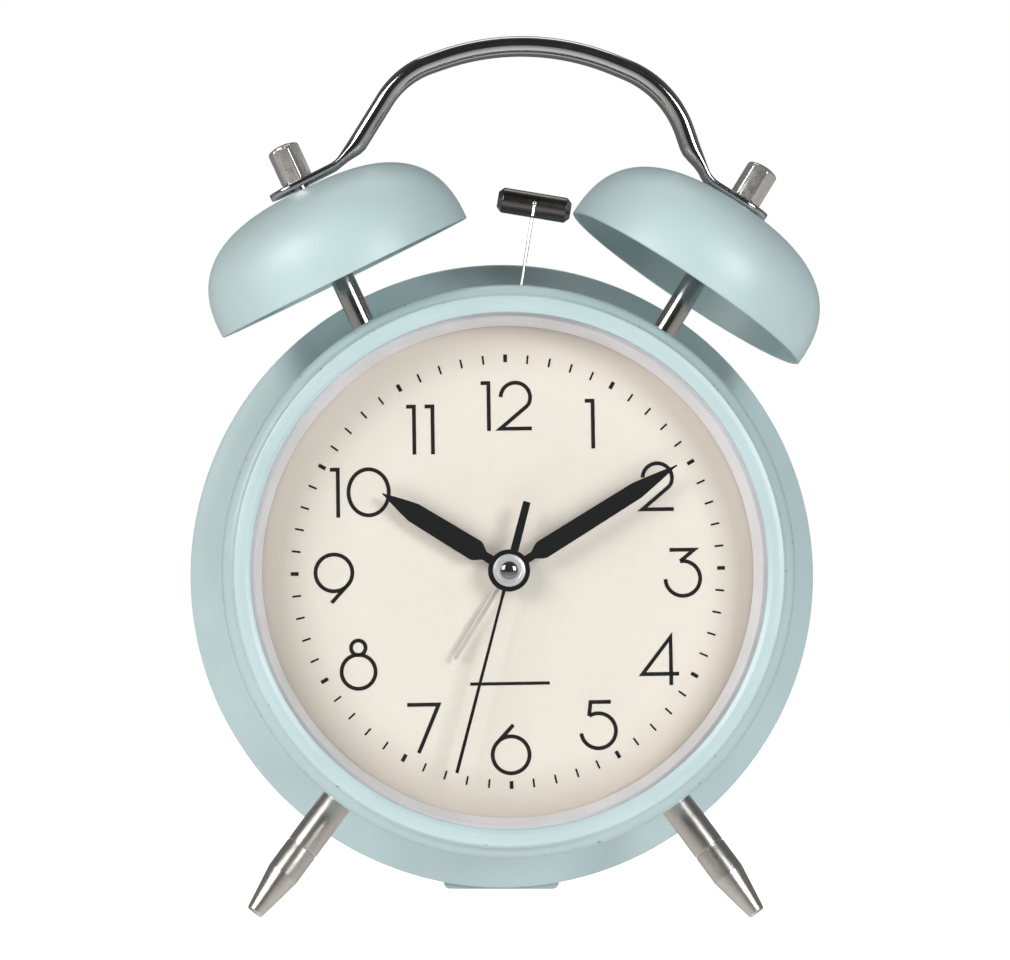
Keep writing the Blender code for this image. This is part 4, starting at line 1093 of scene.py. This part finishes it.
def build_rear():
    bay_low, bay_high = BAY_UP
    front, back = COVER_FRONT, COVER_BACK
    through = (-back - 1, -front + 1)
    corners = [(0, -front, 0), (COVER_R, -front, 0.1), (COVER_R, -back, 0.5), (57.4, -back, 0.1)]
    corners += [(57.1, 0.4 - back, 0.1), (56.6, 0.4 - back, 0.1), (56.3, -back, 0.1), (0, -back, 0)]
    bm = lathe(rounded_profile(corners), 160)
    cover = piece("back_cover", bm, COVER, shifted(), CASE, ["rear_cover"])
    wall = 1.2
    half = BAY_HALF_WIDTH + wall
    outer = rounded_box((-half, half), (bay_low - wall, bay_high + wall), 1.6)
    cut(cover, prism(outer, -front - 0.6, -BAY_FLOOR_DEPTH + wall), shifted(), "UNION")
    inner = rounded_box((-BAY_HALF_WIDTH, BAY_HALF_WIDTH), BAY_UP, 0.8)
    cut(cover, prism(inner, -back - 1, -BAY_FLOOR_DEPTH), shifted())
    foot = rounded_box((-FOOT_HALF_WIDTH, FOOT_HALF_WIDTH), FOOT_UP, 1.2)
    cut(cover, prism(foot, -back - 2.0, -back + 0.5), shifted(), "UNION")
    for x in (KNOB_X, -KNOB_X):
        boss = lathe([(6.6, -back - 0.7), (7.4, -back - 0.7), (7.6, -back + 0.3), (6.4, -back + 0.3)], 64)
        cut(cover, boss, shifted(x, 0, 0), "UNION")
        cut(cover, prism(circle(1.3, 24), *through), shifted(x, 0, 0))
    for name, degrees in SCREW_ANGLES.items():
        spin = turn(radians(degrees - 90), "Z") @ shifted(0, SCREW_R, 0)
        cut(cover, prism(circle(1.5, 24), *through), spin)
        seat = -back - GAP
        corners = [(0, -39.0, 0), (1.2, -39.0, 0.2), (1.2, seat, 0), (2.4, seat, 0.05)]
        corners += [(2.3, seat - 1.0, 0.4), (0, seat - 1.25, 0)]
        bm = lathe(rounded_profile(corners), 32)
        screw = piece(f"screw_{name}", bm, BRUSHED, spin, CASE, [f"cover_screw_{name}"])
        for angle in (0.3, 0.3 + pi / 2):
            slot = box((-1.5, 1.5), (-0.3, 0.3), (-back - 2.0, -back - 0.9))
            cut(screw, slot, spin @ turn(angle, "Z"))
    sx, sy = SWITCH_CENTRE
    slot = rounded_box((sx - 2.5, sx + SWITCH_TRAVEL + 2.5), (sy - 2.0, sy + 2.0), 0.4)
    cut(cover, prism(slot, *through), shifted())
    bx, by = BUTTON_CENTRE
    cut(cover, prism(circle(4.0 + GAP, 48), *through), shifted(bx, by, 0))
    for k in range(7):
        y = 30.0 + 2.6 * k
        half = sqrt(50.0**2 - y**2) * 0.32
        sound = rounded_box((-half, half), (y - 0.55, y + 0.55), 0.5)
        cut(cover, prism(sound, -back - 1, -back + 0.9), shifted())

    grip = box((-2.2, 2.2), (-1.7, 1.7), (-46.6, -41.0))
    at = shifted(sx, sy, 0)
    body = "alarm_switch_slider"
    switch = piece("switch_slider", grip, BLACK, at, body, ["alarm_switch"])
    cut(switch, box((-4.0, 4.0), (-3.5, 3.5), (-42.6, -41.4)), at, "UNION")
    for x in (-1.1, 0.0, 1.1):
        cut(switch, box((x - 0.25, x + 0.25), (-2, 2), (-47, -46.2)), at)
    bevel(switch, 0.12)

    at = shifted(bx, by, 0)
    corners = [(0, -41.6, 0), (5.2, -41.6, 0.1), (5.2, -42.6, 0.1), (4.0, -42.6, 0), (4.0, -47.0, 0.5)]
    corners += [(3.1, -47.0, 0.1), (2.6, -46.7, 0), (0, -46.55, 0)]
    bm = lathe(rounded_profile(corners), 64)
    piece("light_push_button", bm, BLACK, at, "light_push", ["light_button"])

    x_range = (-BAY_HALF_WIDTH - 1.0, BAY_HALF_WIDTH + 1.0)
    outline = rounded_box(x_range, (bay_low - 1.0, bay_high + 1.0), 1.5)
    bm = prism(outline, -back - 1.2, -back - GAP)
    door = piece("battery_lid", bm, BLACK, shifted(), "battery_hatch", ["battery_door"])
    for k in range(6):
        y = bay_high - 2.2 - 0.9 * k
        rib = rounded_box((-6.0, 6.0), (y - 0.22, y + 0.22), 0.2)
        cut(door, prism(rib, -back - 1.5, -back - 1.1), shifted(), "UNION")
    bevel(door, 0.12)

    for name, x in (("time", KNOB_X), ("alarm", -KNOB_X)):
        at = shifted(x, 0, 0)
        body = f"{name}_set_group"
        low, high = KNOB_DEPTHS
        ridge = []
        for k in range(KNOB_RIDGES * 6):
            a = 2 * pi * k / (KNOB_RIDGES * 6)
            wave = (1 + cos(KNOB_RIDGES * a)) / 2
            ridge.append((a, KNOB_R - 0.45 * (1 - wave**0.6)))
        levels = [(low, -0.4), (low + 0.4, 0.0), (high - 0.6, 0.0), (high - 0.25, -0.15), (high, -0.6)]
        bm = bmesh.new()
        rings = []
        for depth, inset in levels:
            outline = [((r + inset) * cos(a), (r + inset) * sin(a)) for a, r in ridge]
            rings.append([bm.verts.new((x, y, -depth)) for x, y in outline])
        skin(bm, rings)
        knob = piece(f"knob_{name}", bm, BLACK, at, body, [f"{name}_set_knob"])
        cut(knob, prism(circle(1.05, 24), -49.4, -45), at)
        dish = lathe([(0, -high - 0.5), (4.2, -high - 0.5), (3.6, -high + 0.45), (0, -high + 0.45)], 48)
        cut(knob, dish, at)


# ---------------------------------------------------------------- studio

# Brightness of the reflected room along Y and Z, as (direction, shade)
ROOM_FRONT_TO_BACK = [
    (-1.0, (0.035, 0.033, 0.033)),
    (-0.6, (0.06, 0.058, 0.058)),
    (0.0, 0.16),
    (0.6, 0.20),
    (1.0, 0.12),
]
ROOM_DOWN_TO_UP = [(-0.1, 1.0), (0.35, 1.0), (0.8, 0.5)]
TABLE_DOWN_TO_EDGE = [
    (-1.0, 0.92),
    (-0.85, (0.80, 0.79, 0.78)),
    (-0.6, (0.64, 0.62, 0.60)),
    (-0.35, (0.44, 0.42, 0.40)),
    (-0.1, (0.27, 0.255, 0.245)),
]
FLOOR_R = 1.6


def build_stage():
    """A white floor, and a white surround far outside it that only the camera sees."""
    white = Finish("floor_white", (0.93, 0.93, 0.93), 0.7)
    white.set("Specular IOR Level", 0.1)
    white.set("Emission Color", (1, 1, 1, 1))
    white.set("Emission Strength", 0.85)
    bm = bmesh.new()
    bm.faces.new([bm.verts.new((x, y, 0)) for x, y in circle(FLOOR_R, 96)])
    stage_object("floor", bm, white.mat, ("diffuse", "glossy", "shadow"))

    bm = bmesh.new()
    cove = arc(2.4, 1.0, 1.0, -75, 0, 5)
    profile = [(FLOOR_R - 0.01, -0.001), (2.4, -0.001)] + cove + [(3.4, 4.0), (0.001, 4.0)]
    skin(bm, [[bm.verts.new((x, y, z)) for x, y in circle(radius)] for radius, z in profile], False)
    unseen = ("diffuse", "glossy", "transmission", "volume_scatter", "shadow")
    stage_object("surround", bm, glowing("surround_white")[0], unseen)


def glowing(name):
    """A material that only gives off light, and its colour socket."""
    mat = bpy.data.materials.new(name)
    mat.use_nodes = True
    tree = mat.node_tree
    tree.nodes.remove(tree.nodes["Principled BSDF"])
    glow = tree.nodes.new("ShaderNodeEmission")
    glow.inputs["Color"].default_value = (1, 1, 1, 1)
    tree.links.new(glow.outputs[0], tree.nodes["Material Output"].inputs["Surface"])
    return mat, glow.inputs["Color"]


def stage_object(name, bm, mat, unseen_by):
    obj = linked(name, bm, mat)
    for ray in unseen_by:
        setattr(obj, f"visible_{ray}", False)


def build_reflections():
    """A dome seen only in reflections: a dim studio in front, a table below and pale walls behind."""
    mat, color = glowing("reflected_room")
    nodes = Nodes(mat.node_tree)
    direction = nodes.tree.nodes.new("ShaderNodeVectorMath")
    direction.operation = "NORMALIZE"
    nodes.link(nodes.place, direction.inputs[0])
    back, up = nodes.axes(direction.outputs[0])[1:]
    walls = (nodes.facing(back, ROOM_FRONT_TO_BACK), nodes.facing(up, ROOM_DOWN_TO_UP))
    walls = nodes.mix(1.0, *walls, "MULTIPLY")
    edge = nodes.facing(up, [(-0.16, 0.0), (-0.10, 1.0)])
    nodes.link(nodes.mix(edge, nodes.facing(up, TABLE_DOWN_TO_EDGE), walls), color)
    bm = bmesh.new()
    bmesh.ops.create_uvsphere(bm, u_segments=48, v_segments=24, radius=3.0)
    unseen = ("camera", "diffuse", "transmission", "volume_scatter", "shadow")
    stage_object("reflection_dome", bm, mat, unseen)


def softbox(name, place, target, size, power, color=(1, 1, 1)):
    light = bpy.data.lights.new(name, "AREA")
    light.shape = "RECTANGLE"
    light.size, light.size_y = size
    light.energy = power
    light.color = color
    obj = bpy.data.objects.new(name, light)
    obj.location = place
    direction = Vector(target) - Vector(place)
    obj.rotation_euler = direction.to_track_quat("-Z", "Y").to_euler()
    obj.visible_camera = False
    bpy.context.scene.collection.objects.link(obj)
    return obj


def build_world():
    """A soft room: brighter behind and at the sides, darker in front and overhead."""
    world = bpy.data.worlds.new("studio")
    bpy.context.scene.world = world
    world.use_nodes = True
    background = world.node_tree.nodes["Background"]
    nodes = Nodes(world.node_tree, "Generated")
    back, up = nodes.axes()[1:]
    around = nodes.facing(back, [(-1.0, 0.22), (-0.3, 0.42), (0.2, 0.85), (1.0, 1.0)])
    above = nodes.facing(up, [(-1.0, 0.8), (0.0, 1.0), (0.24, 0.7), (0.6, 0.28), (1.0, 0.2)])
    nodes.link(nodes.mix(1.0, around, above, "MULTIPLY"), background.inputs["Color"])
    background.inputs["Strength"].default_value = 1.02


def build_camera():
    data = bpy.data.cameras.new("camera")
    data.sensor_width = 36.0
    data.lens = 116.9
    data.clip_start = 0.02
    data.clip_end = 20.0
    camera = bpy.data.objects.new("camera", data)
    bpy.context.scene.collection.objects.link(camera)
    yaw, pitch, roll = 0.0325, 0.051, 0.0034
    forward = Vector((sin(yaw) * cos(pitch), cos(yaw) * cos(pitch), sin(pitch)))
    right = Vector((cos(yaw), -sin(yaw), 0))
    above = right.cross(forward)
    tilted = right * cos(roll) + above * sin(roll)
    above = above * cos(roll) - right * sin(roll)
    turn_to = Matrix((tilted, above, -forward)).transposed().to_4x4()
    camera.matrix_world = Matrix.Translation((-0.0205, -0.6225, 0.0504)) @ turn_to
    bpy.context.scene.camera = camera


def main():
    finish_cad_nodes()
    build_case()
    build_front()
    build_print()
    build_bells()
    build_posts()
    build_cap_nuts()
    build_handle()
    build_legs()
    build_hammer()
    build_hands()
    build_rear()
    build_stage()
    build_world()
    build_reflections()
    softbox("key_left", (-0.85, -0.80, 0.50), (0, 0, 0.09), (0.70, 0.60), 9.4, (1.0, 0.99, 0.97))
    softbox("key_right", (0.70, -0.95, 0.35), (0, 0, 0.09), (0.45, 0.45), 7.7, (0.97, 0.99, 1.0))
    softbox("top", (0.0, 0.35, 1.25), (0, 0, 0.08), (0.9, 0.6), 2.3)
    bounce = softbox("bounce", (-0.1, -0.55, -0.35), (0, 0, 0.09), (1.0, 0.4), 2.6)
    bounce.visible_glossy = False
    build_camera()
    scene = bpy.context.scene
    scene.view_settings.view_transform = "Standard"
    scene.view_settings.look = "None"


main()
